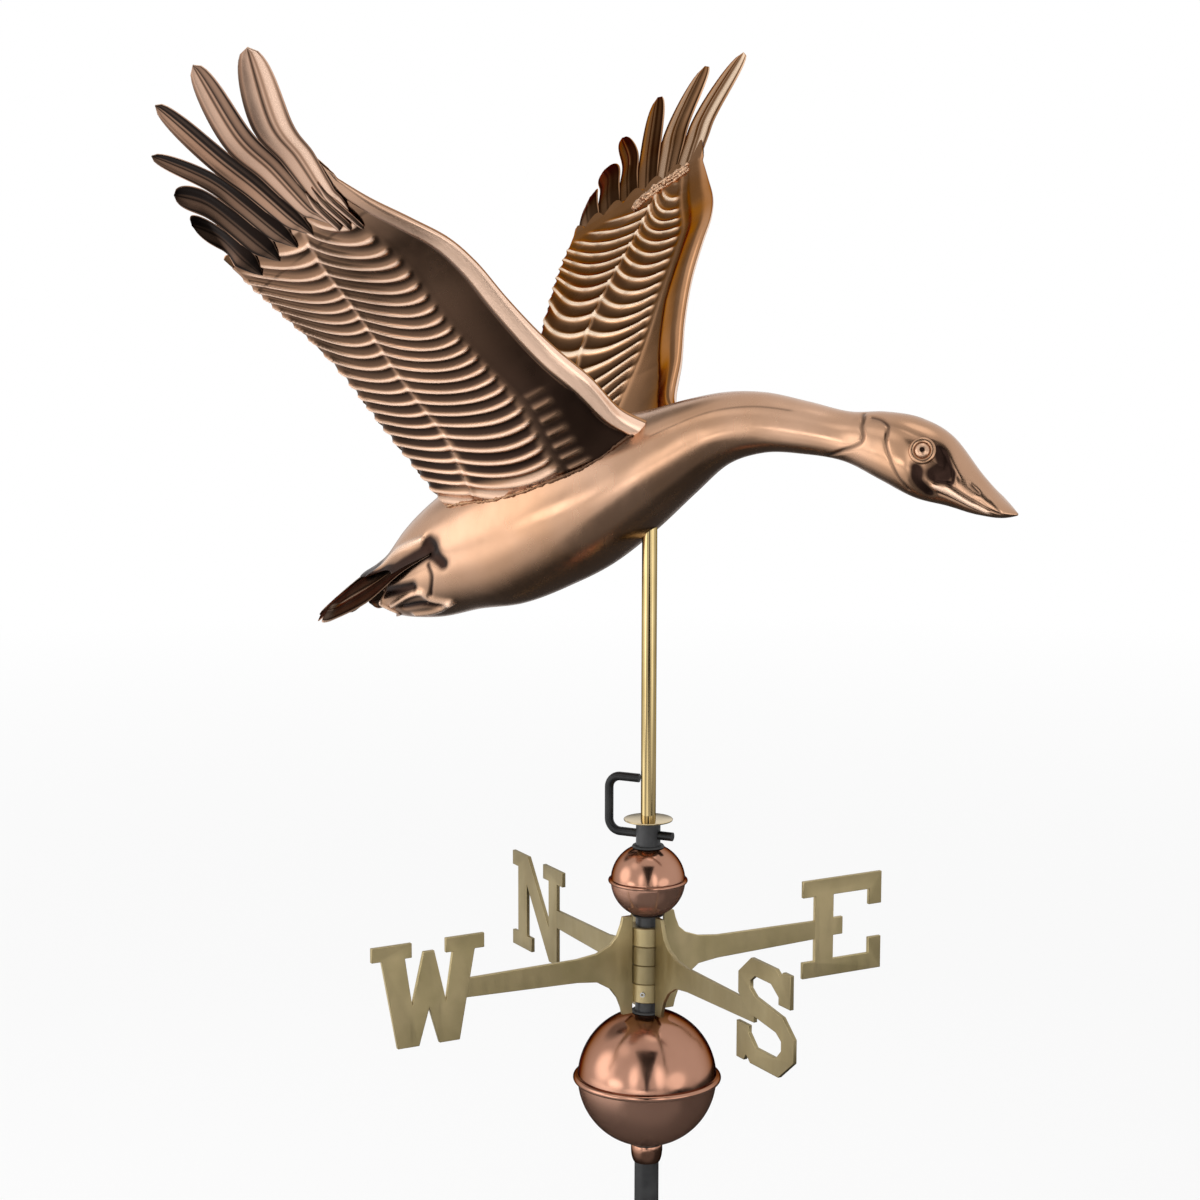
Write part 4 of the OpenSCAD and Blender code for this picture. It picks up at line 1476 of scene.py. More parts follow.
    def add_coverts(self, draft: MeshDraft, sunk: Array) -> None:
        """Add the three small feathers that lie over the feet of the primaries.

        Args:
            draft: Draft that takes the feathers.
            sunk: Offset to the wing's lower side.
        """
        covert = FeatherBlade(
            self.up, self.side, camber=0.8, rim=0.5, quill=0.6, spread=1.0, foot=0.3, turned=True,
        )
        s = np.array([1.03, 0.99, 0.95, 0.91])
        front, pitch, wide, slant, deep = 0.1, 0.055, 0.9, 0.5, 1.3
        tip_s, tip_t, shades = np.array([0.87, 0.885, 0.9]), (0.2, 0.25, 0.3), (0.5, -0.4)
        tips = self.middle(tip_s, np.array(tip_t)) + sunk
        for k, tip in enumerate(tips):
            fronts = (front + pitch * (k + across) for across in (0.0, wide))
            chords = (np.full_like(s, t) + slant * (1 - s) for t in fronts)
            first, last = (self.middle(s, t) + deep * sunk for t in chords)
            covert.add(draft, first, last, tip, 0.0, shades)

    def build_solder(self) -> Piece:
        """Build the uneven beads of solder along the root and at the foot of the primaries.

        Returns:
            The undressed beads, as one piece.
        """
        draft = MeshDraft()
        t = np.linspace(0.03, 0.99, 150)
        out, root_bead, dark, rear_light, rear_span = 0.6, 1.5, 1.0, 0.6, (0.3, 0.6)
        for face in Face:
            gap = self.edge_half * self.roll(np.zeros_like(t), t, face) + self.wall + out
            way = self.offset_way(np.zeros_like(t), t)
            path = self.root(t, out) + way * (face.value * gap)[:, None]
            # Painted shade on the root beads, deepest at the front; the beads at the foot of the
            # primaries take a painted highlight.
            shade = dark - rear_light * smooth(*rear_span, t)
            SolderBead(root_bead, self.side).add(draft, path, shade)
        t = np.linspace(0.1, 0.5, 80)
        start, slant, wave, waves, over, light = 1.02, 0.16, 0.01, 12, 2.2, -0.3
        s = start - slant * t - wave * np.sin(waves * t)
        for radius, shift, seed in ((2.8, 0.0, 7), (2.0, 0.014, 21), (1.7, -0.012, 19)):
            line = self.middle(s + shift, t) + self.up * over
            SolderBead(radius, self.side, seed).add(draft, line, np.full_like(t, light))
        return draft.finish(f"solder_{self.tag}", Sharp.BEAD)

    def dress(
        self,
        skins: dict[Face, Material],
        feather: Material,
        solder: Material,
    ) -> None:
        """Build the wing and give it its finishes.

        Args:
            skins: Copper of the skin on each face, painted in a lighter tone for the upper face.
            feather: Copper of the long feathers.
            solder: Finish of the solder beads.
        """
        slot = "wing_copper"
        for face in Face:
            node = f"wing_{self.tag}_{face.name.lower()}"
            seat(self.build_skin(face), (skins[face],), Body.FIGURE, slot, node)
        feathers = self.build_primaries()
        # Upward faces of the feathers take the upper skins' lighter copper, downward faces the
        # feather copper: painted light by side.
        up = self.up * (1, self.side.value, 1)
        upper = [int(np.dot(face.normal, up) > 0) for face in feathers.data.polygons]
        feathers.data.polygons.foreach_set("material_index", upper)
        finishes = (feather, skins[Face.UPPER])
        seat(feathers, finishes, Body.FIGURE, slot, f"wing_{self.tag}_primaries")
        seat(self.build_solder(), (solder,), Body.FIGURE, slot)


@dataclass(frozen=True)
class FeatherBlade:
    """Shape of one long feather: a thin bent blade with a quill line and rolled rims."""

    up: Array
    side: Side
    half_thick: float = 0.8
    camber: float = 2.6
    quill: float = 1.1
    quill_at: float = 0.1
    quill_wide: float = 0.09
    groove: float = 0.5
    groove_wide: float = 0.26
    rim: float = 0.9
    rim_at: float = 0.93
    rim_wide: float = 0.1
    spread: float = 1.12
    narrow: float = 0.22
    narrow_span: Point = (0.35, 0.95)
    settle: float = 0.6
    under: float = 0.4
    thin_edge: float = 0.05
    foot: float = 0.0
    foot_power: float = 0.75
    ease: Point = (0.1, 0.5)
    turned: bool = False
    bluntness: float = 3.4
    least: float = 0.0004
    rows: int = 72
    columns: int = 22
    side_wide: float = 0.22
    vane_span: Point = (-0.35, 0.0)
    vane_fade: Point = (0.97, 0.8)
    rim_light: Spot = (0.8, 0.97, 0.05)
    rim_line: Spot = (0.7, 0.86, 0.06)
    quill_line: Spot = (1.2, 0.16, 0.08)

    def add(
        self,
        draft: MeshDraft,
        first: Array,
        last: Array,
        tip: Array,
        layer: float,
        shades: Point,
    ) -> None:
        """Add a feather to a draft.

        Args:
            draft: Draft that takes the feather.
            first: Points along its front edge, from its foot to where it stands free.
            last: Points along its back edge.
            tip: The feather's tip.
            layer: Distance along the wing's normal, so that the feathers overlap.
            shades: Painted shade on the feather's front and back vanes; a negative share paints a
                highlight.
        """
        spine, half = (first + last) / 2, (last - first) / 2
        place = np.linspace(0.0, 1.0, self.rows)
        knots, rail = even_rail([*spine, tip])
        middle = rail.at(place)
        wide = even_rail([*half, half[-1]])[1].at(place)
        free = np.clip((place - knots[-2]) / (1 - knots[-2]), 0, 1)
        taper = np.sqrt(np.clip(1 - free**self.bluntness, self.least, 1))
        grown = smooth(*self.ease, place)[:, None]
        q = np.cos(np.linspace(math.pi, 0.0, self.columns))[None, :]
        width = self.spread * (1 - self.narrow * smooth(*self.narrow_span, place)) * taper
        if self.foot:
            width = width * np.power(np.clip(place / self.foot, self.least, 1), self.foot_power)
        flat = middle[:, None, :] + wide[:, None, :] * q[..., None] * width[:, None, None]
        share = taper[:, None] * grown
        off_quill = q + self.quill_at
        quill = bell(off_quill, self.quill_wide) * self.quill
        quill = quill - self.groove * bell(off_quill, self.groove_wide)
        rims = self.rim * bell(np.abs(q) - self.rim_at, self.rim_wide)
        arch = self.camber * (1 - q * q)
        over = (arch + quill + rims) * share
        over = over + layer * grown * (1 - self.settle * free[:, None])
        under = over - (quill + rims) * share * self.under
        edge = self.half_thick * np.sqrt(np.clip(1 - q * q, self.thin_edge, 1))
        up = -self.up if self.turned else self.up
        top = flat + up * (over + edge)[..., None]
        low = flat + up * (under - edge)[..., None]
        loop = np.concatenate([top, low[:, ::-1]], axis=1)
        loop[..., 1] *= self.side.value
        shade = self.shade(q, free[:, None], shades)
        draft.add_tube(loop, np.concatenate([shade, shade[:, ::-1]], axis=1))

    def shade(self, q: Array, free: Array, shades: Point) -> Array:
        """Paint light and shade on the vanes: a painted highlight on the rims, painted shade in
        lines inside them and beside the quill, and at the sides by the foot, where the next feather
        lies over.

        Args:
            q: Places across the feather, from -1 to 1.
            free: How far along its free end each row lies.
            shades: Painted shade on the front and back vanes; a negative share paints a highlight.

        Returns:
            Shares of painted light, from -1 to 1.
        """
        front, back = shades
        rows = ((-1, np.abs(q), self.rim_light), (1, np.abs(q), self.rim_line))
        rows += ((1, np.abs(q + self.quill_at), self.quill_line),)
        rim, line, quill = (sign * k * bell(off - at, wide) for sign, off, (k, at, wide) in rows)
        vane = front + (back - front) * smooth(*self.vane_span, q)
        face = vane * smooth(*self.vane_fade, np.abs(q)) + rim + line
        # Painted shade at the sides, where the feathers overlap.
        sides = bell(np.abs(q) - 1.0, self.side_wide) * (1 - free)
        return np.clip(face + sides + quill, -1, 1)


@dataclass(frozen=True)
class SolderBead:
    """Uneven bead of solder along a line."""

    radius: float
    side: Side
    seed: int = 7
    ring: int = 10
    lump: float = 0.35
    lump_shape: tuple[float, ...] = (0.2, 0.5, 0.6, 0.5, 0.2)
    lump_range: Point = (0.45, 1.9)
    end_size: float = 0.15
    stray: float = 0.25

    def add(self, draft: MeshDraft, path: Array, hollow: Array) -> None:
        """Add a bead to a draft.

        Args:
            draft: Draft that takes the bead.
            path: Points along the bead.
            hollow: Painted shade at each point; a negative share paints a highlight.
        """
        chance = np.random.default_rng(self.seed)
        rough = chance.normal(size=len(path) + len(self.lump_shape) - 1)
        lumps = 1 + self.lump * np.convolve(rough, self.lump_shape, "valid")
        lumps = np.clip(lumps, *self.lump_range)
        lumps[0] = lumps[-1] = self.end_size
        stray = self.stray * self.radius * chance.normal(size=(len(path), 3))
        line = (path + stray) * (1, self.side.value, 1)
        draft.add_rod(line, self.radius * lumps, self.ring, hollow)


@dataclass
class TailFan:
    """Five overlapping tail feathers with a ridge in the middle.

    Each row gives an x, the ridge's height over the base, the half width and the fall at the side.
    """

    form: GooseForm
    shares: tuple[float, ...] = (-1.0, -0.62, -0.22, 0.22, 0.62, 1.0)
    rows: tuple[tuple[float, ...], ...] = (
        (-215, -26, 52, 30), (-252, -44, 50, 34), (-294, -65, 48, 45), (-338, -97, 46, 37),
    )
    tips: tuple[Spot, ...] = (
        (-352, 40, -132), (-371, 22, -139), (-385, 0, -143), (-371, -22, -139), (-352, -40, -132),
    )
    layer: float = 0.9
    # Painted shade on the back vanes of the tail feathers.
    shades: Point = (0.0, 0.7)
    up: Array = field(default_factory=lambda: unit(np.array([0.35, 0.0, 0.94])))

    def build(self) -> Piece:
        """Build the fan.

        Returns:
            The undressed fan.
        """
        lift = np.array([0.0, 0.0, self.form.base_z])
        edges = lift + np.array([
            [(x, -y * half, ridge - fall * abs(y)) for y in self.shares]
            for x, ridge, half, fall in self.rows
        ])
        draft = MeshDraft()
        blade = FeatherBlade(
            self.up, Side.LEFT, camber=2.2, rim=1.6, quill=1.6, spread=1.5, narrow=0.25,
            bluntness=8.0, rows=64,
        )
        middle = len(self.tips) // 2
        for k, tip in enumerate(self.tips):
            layer = -self.layer * abs(k - middle)
            blade.add(draft, edges[:, k], edges[:, k + 1], lift + tip, layer, self.shades)
        return draft.finish("goose_tail", Sharp.SMALL)

    def dress(self, finish: Material) -> None:
        """Build the fan and give it its finish."""
        seat(self.build(), (finish,), Body.FIGURE, "tail_copper", "tail_fan")


@dataclass
class Globe:
    """Copper globe of two spun halves that meet in a rolled bead."""

    name: str
    bead: float
    wall: float = 1.2
    hole_r: float = 14.0
    seam: float = 0.05
    roll_share: float = 0.6
    roll_least: float = 0.4
    crease_rise: float = 0.7
    crease: tuple[Point, ...] = ((-0.1, 0.25), (0.5, 0.02))
    bead_arc: Point = (0.1, 1.5)
    inner_arc: float = 0.05
    arc_steps: int = 40
    bead_steps: int = 9
    inner_steps: int = 12
    turn_steps: int = 144

    def profile(self, radius: float) -> list[Point]:
        """Outline of the upper half, round its section.

        Args:
            radius: Radius of the globe without the bead.

        Returns:
            Corners as radius and height over the equator.
        """
        top = math.acos(self.hole_r / radius)
        roll = self.bead * self.roll_share + self.roll_least
        reach = radius + self.bead - roll
        low = math.asin((roll + self.crease_rise) / radius)
        arc = np.linspace(top, low, self.arc_steps)
        outline = [(radius * math.cos(a), radius * math.sin(a)) for a in arc]
        outline += [(radius + out, roll + rise) for out, rise in self.crease]
        arc = np.linspace(*self.bead_arc, self.bead_steps)
        outline += [(reach + roll * math.sin(a), roll * math.cos(a)) for a in arc]
        inner = radius - self.wall
        outline += [(reach + roll, self.seam), (inner, self.seam)]
        arc = np.linspace(self.inner_arc, top, self.inner_steps)
        return outline + [(inner * math.cos(a), inner * math.sin(a)) for a in arc]

    def dress(self, upper: Material, lower: Material) -> None:
        """Build both halves and give them their finishes.

        Args:
            upper: Copper of the upper half.
            lower: Copper of the lower half.
        """
        low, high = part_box(f"{self.name}_upper")
        radius = high.x / MM - self.bead
        centre = low.z / MM - self.seam
        for half, way, finish in (("upper", 1.0, upper), ("lower", -1.0, lower)):
            axes = upright(centre)
            axes[2:] *= way
            draft = MeshDraft()
            draft.add_lathe(self.profile(radius), axes, self.turn_steps)
            shell = draft.finish(f"globe_{self.name}_{half}", Sharp.SMALL)
            seat(shell, (finish,), Body.MAST, "globe_copper", f"{self.name}_{half}")


class Letter(Enum):
    """Outlines of the compass letters, in hundredths of the letter height."""

    E = (
        (0, 0), (93, 0), (93, 33), (78, 33), (78, 17), (36, 17), (36, 41), (47, 41), (47, 59),
        (36, 59), (36, 83), (78, 83), (78, 67), (93, 67), (93, 100), (0, 100), (0, 83), (14, 83),
        (14, 17), (0, 17),
    )
    N = (
        (0, 100), (34, 100), (79, 36), (79, 85), (67, 85), (67, 100), (109, 100), (109, 85),
        (97, 85), (97, 0), (80, 0), (31, 70), (31, 15), (42, 15), (42, 0), (0, 0), (0, 15),
        (12, 15), (12, 85), (0, 85),
    )
    W = (
        (0, 100), (41, 100), (41, 86), (34, 86), (41, 40), (53, 90), (64, 90), (76, 40), (83, 86),
        (76, 86), (76, 100), (116, 100), (116, 86), (106, 86), (90, 0), (69, 0), (58.5, 35),
        (48, 0), (26, 0), (10, 86), (0, 86),
    )
    S = (
        (0, 0), (13, 0), (17, 6), (24, 0), (72, 0), (97, 20), (97, 42), (78, 58), (32, 65),
        (23, 71), (23, 78), (31, 84), (58, 84), (71, 75), (71, 68), (91, 68), (91, 100), (78, 100),
        (73, 95), (66, 100), (24, 100), (2, 82), (2, 62), (21, 47), (67, 41), (76, 35), (76, 26),
        (67, 17), (33, 17), (21, 28), (21, 35), (0, 35),
    )


@dataclass
class CompassArm:
    """One lettered arm: a ring round the rod, a flared flange, a bar and a letter.

    Level counts the rings up from the lowest, quarter counts the quarter turns from east. Reach,
    shift and rise place the bar's end and the letter, in hundredths of the letter height.
    """

    node: str
    letter: Letter
    level: int
    quarter: int
    from_left: bool
    reach: float
    shift: float
    rise: float
    hub_mid: float
    east_heading: float = 59.0
    ring_h: float = 18.7
    ring_gap: float = 0.2
    ring_ease: float = 0.7
    ring_steps: int = 72
    bore: float = 12.05
    ring_r: float = 17.45
    flange_r: float = 17.85
    flange_h: float = 99.0
    flare: tuple[Spot, ...] = ((0, 1, 0), (11, 1, 0), (13, 0.84, 0), (17, 0.64, 0), (25, 0.45, 0.5))
    taper: tuple[Spot, ...] = ((40, 1.54, 1), (62, 1.26, 1))
    bar_h: float = 18.6
    bar_rise: float = 1.0
    letter_h: float = 101.6
    letter_r: float = 180.0
    letter_rise: float = 2.0
    plate: float = 4.0
    plate_less: float = 0.1
    stub_in: float = 2.0
    stub_out: float = 1.0
    bevel: float = 0.55
    stub_bevel: float = 0.3

    def axes(self) -> Array:
        """Axes of the arm's plate.

        Returns:
            Four rows: the hub's middle, then the ways out along the arm, up and across it.
        """
        turn = math.radians(self.east_heading + 90.0 * self.quarter)
        out = (math.cos(turn), math.sin(turn), 0.0)
        across = (math.sin(turn), -math.cos(turn), 0.0)
        return np.array([(0.0, 0.0, self.hub_mid), out, (0.0, 0.0, 1.0), across])

    def arm_outline(self) -> list[Point]:
        """Outline of the flange and the bar.

        Returns:
            Corners out along the arm and up.
        """
        k, w = self.letter_h / 100, self.flange_h / 100
        lift = self.rise * k
        end = self.letter_r + (self.reach + self.shift) * k
        flange, bar = self.flange_h / 2, self.bar_h / 2
        upper = [(r, flange * high, share) for r, high, share in self.flare]
        upper += [(r, bar * high, share) for r, high, share in self.taper]
        top = [(self.flange_r + r * w, z + lift * share) for r, z, share in upper]
        low = [(self.flange_r + r * w, -z + lift * share) for r, z, share in upper]
        tip = [(end, side * bar + lift + self.bar_rise) for side in (1, -1)]
        return [*top, *tip, *low[::-1]][::-1]

    def letter_outline(self) -> list[Point]:
        """Outline of the letter.

        Returns:
            Corners out along the arm and up, counter-clockwise.
        """
        k = self.letter_h / 100
        wide = max(p[0] for p in self.letter.value)
        foot = (self.letter_rise + self.rise) * k - self.letter_h / 2
        corners = [
            (self.letter_r + (self.shift + (x if self.from_left else wide - x)) * k, y * k + foot)
            for x, y in self.letter.value
        ]
        pairs = zip(corners, corners[1:] + corners[:1], strict=True)
        area = sum(a[0] * b[1] - b[0] * a[1] for a, b in pairs)
        return corners if area > 0 else corners[::-1]

    def ring_profile(self) -> list[Point]:
        """Outline of the ring's section, with eased edges.

        Returns:
            Corners as radius and height over the ring's middle.
        """
        h, r, ease = self.ring_h / 2, self.ring_r, self.ring_ease
        rim = [(self.bore, -h), (r - ease, -h), (r, -h + ease)]
        return rim + [(radius, -z) for radius, z in reversed(rim)]

    def dress(self, finish: Material) -> None:
        """Build the arm and give it its finish.

        Args:
            finish: Brass of the arm.
        """
        draft = MeshDraft()
        axes = self.axes()
        thin = self.plate - self.plate_less
        draft.add_plate(self.arm_outline(), axes, thin, self.bevel)
        draft.add_plate(self.letter_outline(), axes, self.plate, self.bevel)
        middle = (len(Letter) - 1) / 2
        ring_z = self.hub_mid + (self.level - middle) * (self.ring_h + self.ring_gap)
        draft.add_lathe(self.ring_profile(), upright(ring_z), self.ring_steps)
        stub = axes.copy()
        stub[0, 2] = ring_z
        h = self.ring_h / 2
        near, far = self.bore + self.stub_in, self.flange_r + self.stub_out
        corners = [(near, -h), (far, -h), (far, h), (near, h)]
        draft.add_plate(corners, stub, thin, self.stub_bevel)
        arm = draft.finish(f"compass_{self.letter.name.lower()}_arm", Sharp.PLATE)
        seat(arm, (finish,), Body.COMPASS, "arm_brass", self.node)


@dataclass
class TurnedPiece:
    """A turned piece round the rod's axis.

    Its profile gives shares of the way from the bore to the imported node's rim, and of its height.
    """

    name: str
    node: str
    body: Body
    slot: str
    profile: tuple[Point, ...]
    bore: float
    turn_steps: int = 128

    def dress(self, finish: Material) -> None:
        """Build the piece and give it its finish.

        Args:
            finish: Finish of the piece.
        """
        low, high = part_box(self.node)
        base, tall, reach = low.z / MM, (high.z - low.z) / MM, high.x / MM
        wide = reach - self.bore
        outline = [(self.bore + share * wide, rise * tall) for share, rise in self.profile]
        draft = MeshDraft()
        draft.add_lathe(outline, upright(base), self.turn_steps)
        seat(draft.finish(self.name, Sharp.TURNED), (finish,), self.body, self.slot, self.node)


@dataclass
class PackedPieces:
    """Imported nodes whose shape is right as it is; they only take a finish."""

    finish: Material
    nodes: tuple[str, ...]

    def dress(self) -> None:
        """Give each node the finish."""
        for node in self.nodes:
            piece = frame["nodes"][node]
            piece.data.materials.clear()
            piece.data.materials.append(self.finish)
            LOG.info("%s: packed node with %s", node, self.finish.name)


@dataclass
class PhotoCamera:
    """Camera at the photograph's place, for a square picture."""

    place: Spot = (1.4224, -2.5586, 1.313)
    yaw: float = 30.0
    pitch: float = 9.8
    roll: float = 0.13
    lens: float = 92.7
    sensor: float = 36.0

    def build(self) -> None:
        """Make the camera and set it as the scene's."""
        yaw, pitch, roll = (math.radians(a) for a in (self.yaw, self.pitch, self.roll))
        level = Vector((math.cos(yaw), math.sin(yaw), 0.0))
        flat = math.cos(pitch)
        ahead = Vector((-math.sin(yaw) * flat, math.cos(yaw) * flat, -math.sin(pitch)))
        above = level.cross(ahead)
        right = level * math.cos(roll) + above * math.sin(roll)
        up = above * math.cos(roll) - level * math.sin(roll)
        camera = set_out("photo_camera", bpy.data.cameras.new("photo_camera"))
        camera.data.sensor_width = self.sensor
        camera.data.lens = self.lens
        turned = Matrix((right, up, -ahead)).transposed().to_4x4()
        camera.matrix_world = Matrix.Translation(self.place) @ turned
        bpy.context.scene.camera = camera
        LOG.info("camera at %s", self.place)


def aim(item: Piece, place: Spot, target: Spot) -> None:
    """Put a lamp or a card in its place and turn it to a point.

    Args:
        item: The lamp or card.
        place: Where it stands.
        target: Point that it looks at.
    """
    item.location = place
    way = Vector(target) - Vector(place)
    item.rotation_euler = way.to_track_quat("-Z", "Y").to_euler()


@dataclass(frozen=True)
class SoftLamp:
    """Square lamp that looks at a point and doesn't show in reflections."""

    name: str
    place: Spot
    target: Spot
    size: float
    power: float

    def build(self) -> None:
        """Make the lamp."""
        lamp = bpy.data.lights.new(self.name, "AREA")
        lamp.shape = "SQUARE"
        lamp.size = self.size
        lamp.energy = self.power
        holder = set_out(self.name, lamp)
        aim(holder, self.place, self.target)
        holder.visible_glossy = False


def show_in_gloss(card: Piece) -> None:
    """Stage a card that only glossy rays see.

    Args:
        card: The card.
    """
    card.visible_camera = False
    card.visible_diffuse = False
    card.visible_shadow = False
    card.visible_transmission = False


@dataclass(frozen=True)
class Card:
    """Round card that only shows in the metal's reflections, fading at its edge."""

    name: str
    place: Spot
    target: Spot
    size: Point
    level: float
    core: float
    rim_steps: int = 48

    def build(self) -> None:
        """Make the card."""
        wide, tall = self.size[0] / 2, self.size[1] / 2
        mesh = bpy.data.meshes.new(self.name)
        turns = np.linspace(0.0, math.tau, self.rim_steps, endpoint=False)
        rim = [(math.cos(a), math.sin(a), 0.0) for a in turns]
        mesh.from_pydata(rim, [], [tuple(range(self.rim_steps))])
        mesh.materials.append(self.glow())
        card = set_out(self.name, mesh)
        card.scale = (wide, tall, 1.0)
        aim(card, self.place, self.target)
        show_in_gloss(card)

    def glow(self) -> Material:
        """Lay out the card's glow: its level in the middle, clear at the edge.

        Returns:
            The finished material.
        """
        material = bpy.data.materials.new(self.name)
        bench = NodeBench(material)
        ends = {"Value": bench.reach(), "From Min": self.core}
        fade = bench.node("MapRange", ends, interpolation_type="SMOOTHSTEP").outputs["Result"]
        clear = bench.node("BsdfTransparent", {}).outputs["BSDF"]
        bench.surface(bench.blend(fade, bench.glow(self.level), clear))
        return material


def floor_card(name: str, place: Spot, size: Point, level: float, core: float) -> Card:
    """Card that lies on the floor; both its faces show."""
    straight_down = (*place[:2], -1.0)
    return Card(name, place, straight_down, size, level, core)


@dataclass(frozen=True)
class Slit:
    """Dark gap between the front soft boxes, wider overhead, that only shows in reflections.

    Its rows give a height angle and a half width, both in degrees.
    """

    centre: Spot = (0.0, 0.0, 0.33)
    heading: float = -61.0
    reach: float = 2.4
    level: float = 0.04
    rows: tuple[Point, ...] = ((-8.0, 2.5), (9.0, 4.0), (38.0, 11.0), (60.0, 17.0))

    def build(self) -> None:
        """Make the gap as a bent strip."""
        turn = math.radians(self.heading)
        along = Vector((math.cos(turn), math.sin(turn), 0.0))
        across = Vector((-along.y, along.x, 0.0))
        points = []
        for rise, half in self.rows:
            a = math.radians(rise)
            way = along * math.cos(a) + Vector((0.0, 0.0, math.sin(a)))
            middle = Vector(self.centre) + way * self.reach
            wide = across * self.reach * math.tan(math.radians(half))
            points += [middle - wide, middle + wide]
        quads = [(k, k + 1, k + 3, k + 2) for k in range(0, len(points) - 2, 2)]
        mesh = bpy.data.meshes.new("slit")
        mesh.from_pydata(points, [], quads)
        material = bpy.data.materials.new("slit")
        bench = NodeBench(material)
        bench.surface(bench.glow(self.level))
        mesh.materials.append(material)
        show_in_gloss(set_out("slit", mesh))


@dataclass
class Studio:
    """Pale floor, white surround, soft lamps and the cards that shape the reflections."""

    floor_half: float = 30.0
    floor_tint: Colour = (0.86, 0.86, 0.86)
    floor_glow: float = 0.8
    floor_fade: Point = (1.5, 4.5)
    fill: float = 0.55
    lamps: tuple[SoftLamp, ...] = (
        SoftLamp("key_lamp", (-1.6, -3.0, 2.6), (0.0, 0.0, 0.9), 1.8, 70.0),
        SoftLamp("fill_lamp", (1.6, -2.2, 0.35), (-0.1, -0.2, 1.1), 1.2, 26.0),
        SoftLamp("top_lamp", (0.3, 0.4, 3.4), (0.0, 0.0, 0.8), 2.0, 30.0),
    )
    cards: tuple[Card, ...] = (
        floor_card("floor_card", (0.45, 0.9, 0.004), (3.6, 3.6), 0.06, 0.65),
        floor_card("floor_far_card", (4.4, -2.7, 0.012), (5.0, 3.6), 0.05, 0.6),
        floor_card("floor_gap_card", (2.0, -3.6, 0.016), (2.5, 2.6), 0.03, 0.7),
        floor_card("floor_right_card", (1.7, -0.2, 0.018), (1.9, 1.7), 0.05, 0.7),
        floor_card("rod_card", (0.5, -0.6, 0.006), (1.5, 1.4), 0.2, 0.7),
        Card("left_card", (-2.5, -2.0, 1.3), (-0.1, 0.0, 0.9), (3.2, 3.4), 2.7, 0.4),
        Card("front_card", (-1.3, -2.9, 0.3), (-0.1, -0.2, 1.1), (1.8, 1.0), 3.4, 0.6),
        Card("right_card", (2.7, -0.6, 0.6), (0.0, -0.2, 1.1), (2.2, 1.6), 2.0, 0.6),
        floor_card("floor_left_card", (-1.6, -1.5, 0.012), (3.0, 2.6), 2.2, 0.3),
        Card("behind_card", (-1.05, 1.9, 0.1), (0.0, 0.0, 0.5), (3.6, 2.6), 0.2, 0.55),
        floor_card("floor_front_card", (0.6, -2.4, 0.012), (2.2, 2.0), 2.8, 0.4),
        Card("left_strip_card", (0.3, -2.5, 1.0), (0.0, 0.0, 0.33), (1.0, 2.6), 2.6, 0.3),
        Card("right_strip_card", (1.95, -1.6, 1.0), (0.0, 0.0, 0.33), (1.0, 2.6), 2.6, 0.3),
        Card("sky_left_card", (-1.5, -2.2, 3.4), (0.1, 0.0, 1.0), (2.6, 2.0), 1.6, 0.3),
        Card("top_card", (0.35, 0.1, 3.2), (0.35, 0.1, 0.0), (1.4, 1.4), 2.0, 0.6),
        Card("back_card", (-2.2, 0.6, 2.7), (-0.1, 0.2, 1.1), (2.6, 2.4), 0.35, 0.5),
    )

    def build_floor(self) -> None:
        """Make the floor, which shows white to the camera and keeps a soft shadow by the rod."""
        mesh = bpy.data.meshes.new("floor")
        h = self.floor_half
        corners = [(-h, -h, 0.0), (h, -h, 0.0), (h, h, 0.0), (-h, h, 0.0)]
        mesh.from_pydata(corners, [], [tuple(range(len(corners)))])
        material = bpy.data.materials.new("pale_floor")
        bench = NodeBench(material)
        fade = bench.spread(bench.reach(), self.floor_fade, (self.floor_glow, 1.0))
        share = bench.node("Math", {0: bench.seen_rays(), 1: fade}, operation="MULTIPLY")
        matt = bench.node("BsdfDiffuse", {"Color": (*self.floor_tint, 1.0)})
        lit = bench.blend(share.outputs["Value"], matt.outputs["BSDF"], bench.glow(1.0))
        bench.surface(lit)
        mesh.materials.append(material)
        floor = set_out("floor", mesh)

    def build_surround(self) -> None:
        """Make the world: white where it is seen, a plain fill elsewhere."""
        world = bpy.data.worlds.new("surround")
        bpy.context.scene.world = world
        bench = NodeBench(world)
        level = bench.spread(bench.seen_rays(), SHARE, (self.fill, 1.0))
        back = bench.node("Background", {"Color": WHITE, "Strength": level})
        bench.node("OutputWorld", {"Surface": back.outputs["Background"]})

    def build(self) -> None:
        """Make the floor, the surround, the lamps and the cards."""
        bpy.context.scene.view_settings.view_transform = "Standard"
        self.build_floor()
        self.build_surround()
        for item in (*self.lamps, *self.cards, Slit()):
            item.build()
        LOG.info("studio with %d lamps and %d cards", len(self.lamps), len(self.cards))


def joint_height(name: str) -> float:
    """Height of a joint over the rod's lower end, in millimetres."""
    return next(j["pos_m"][2] for j in frame["joints"] if j["name"] == name) / MM


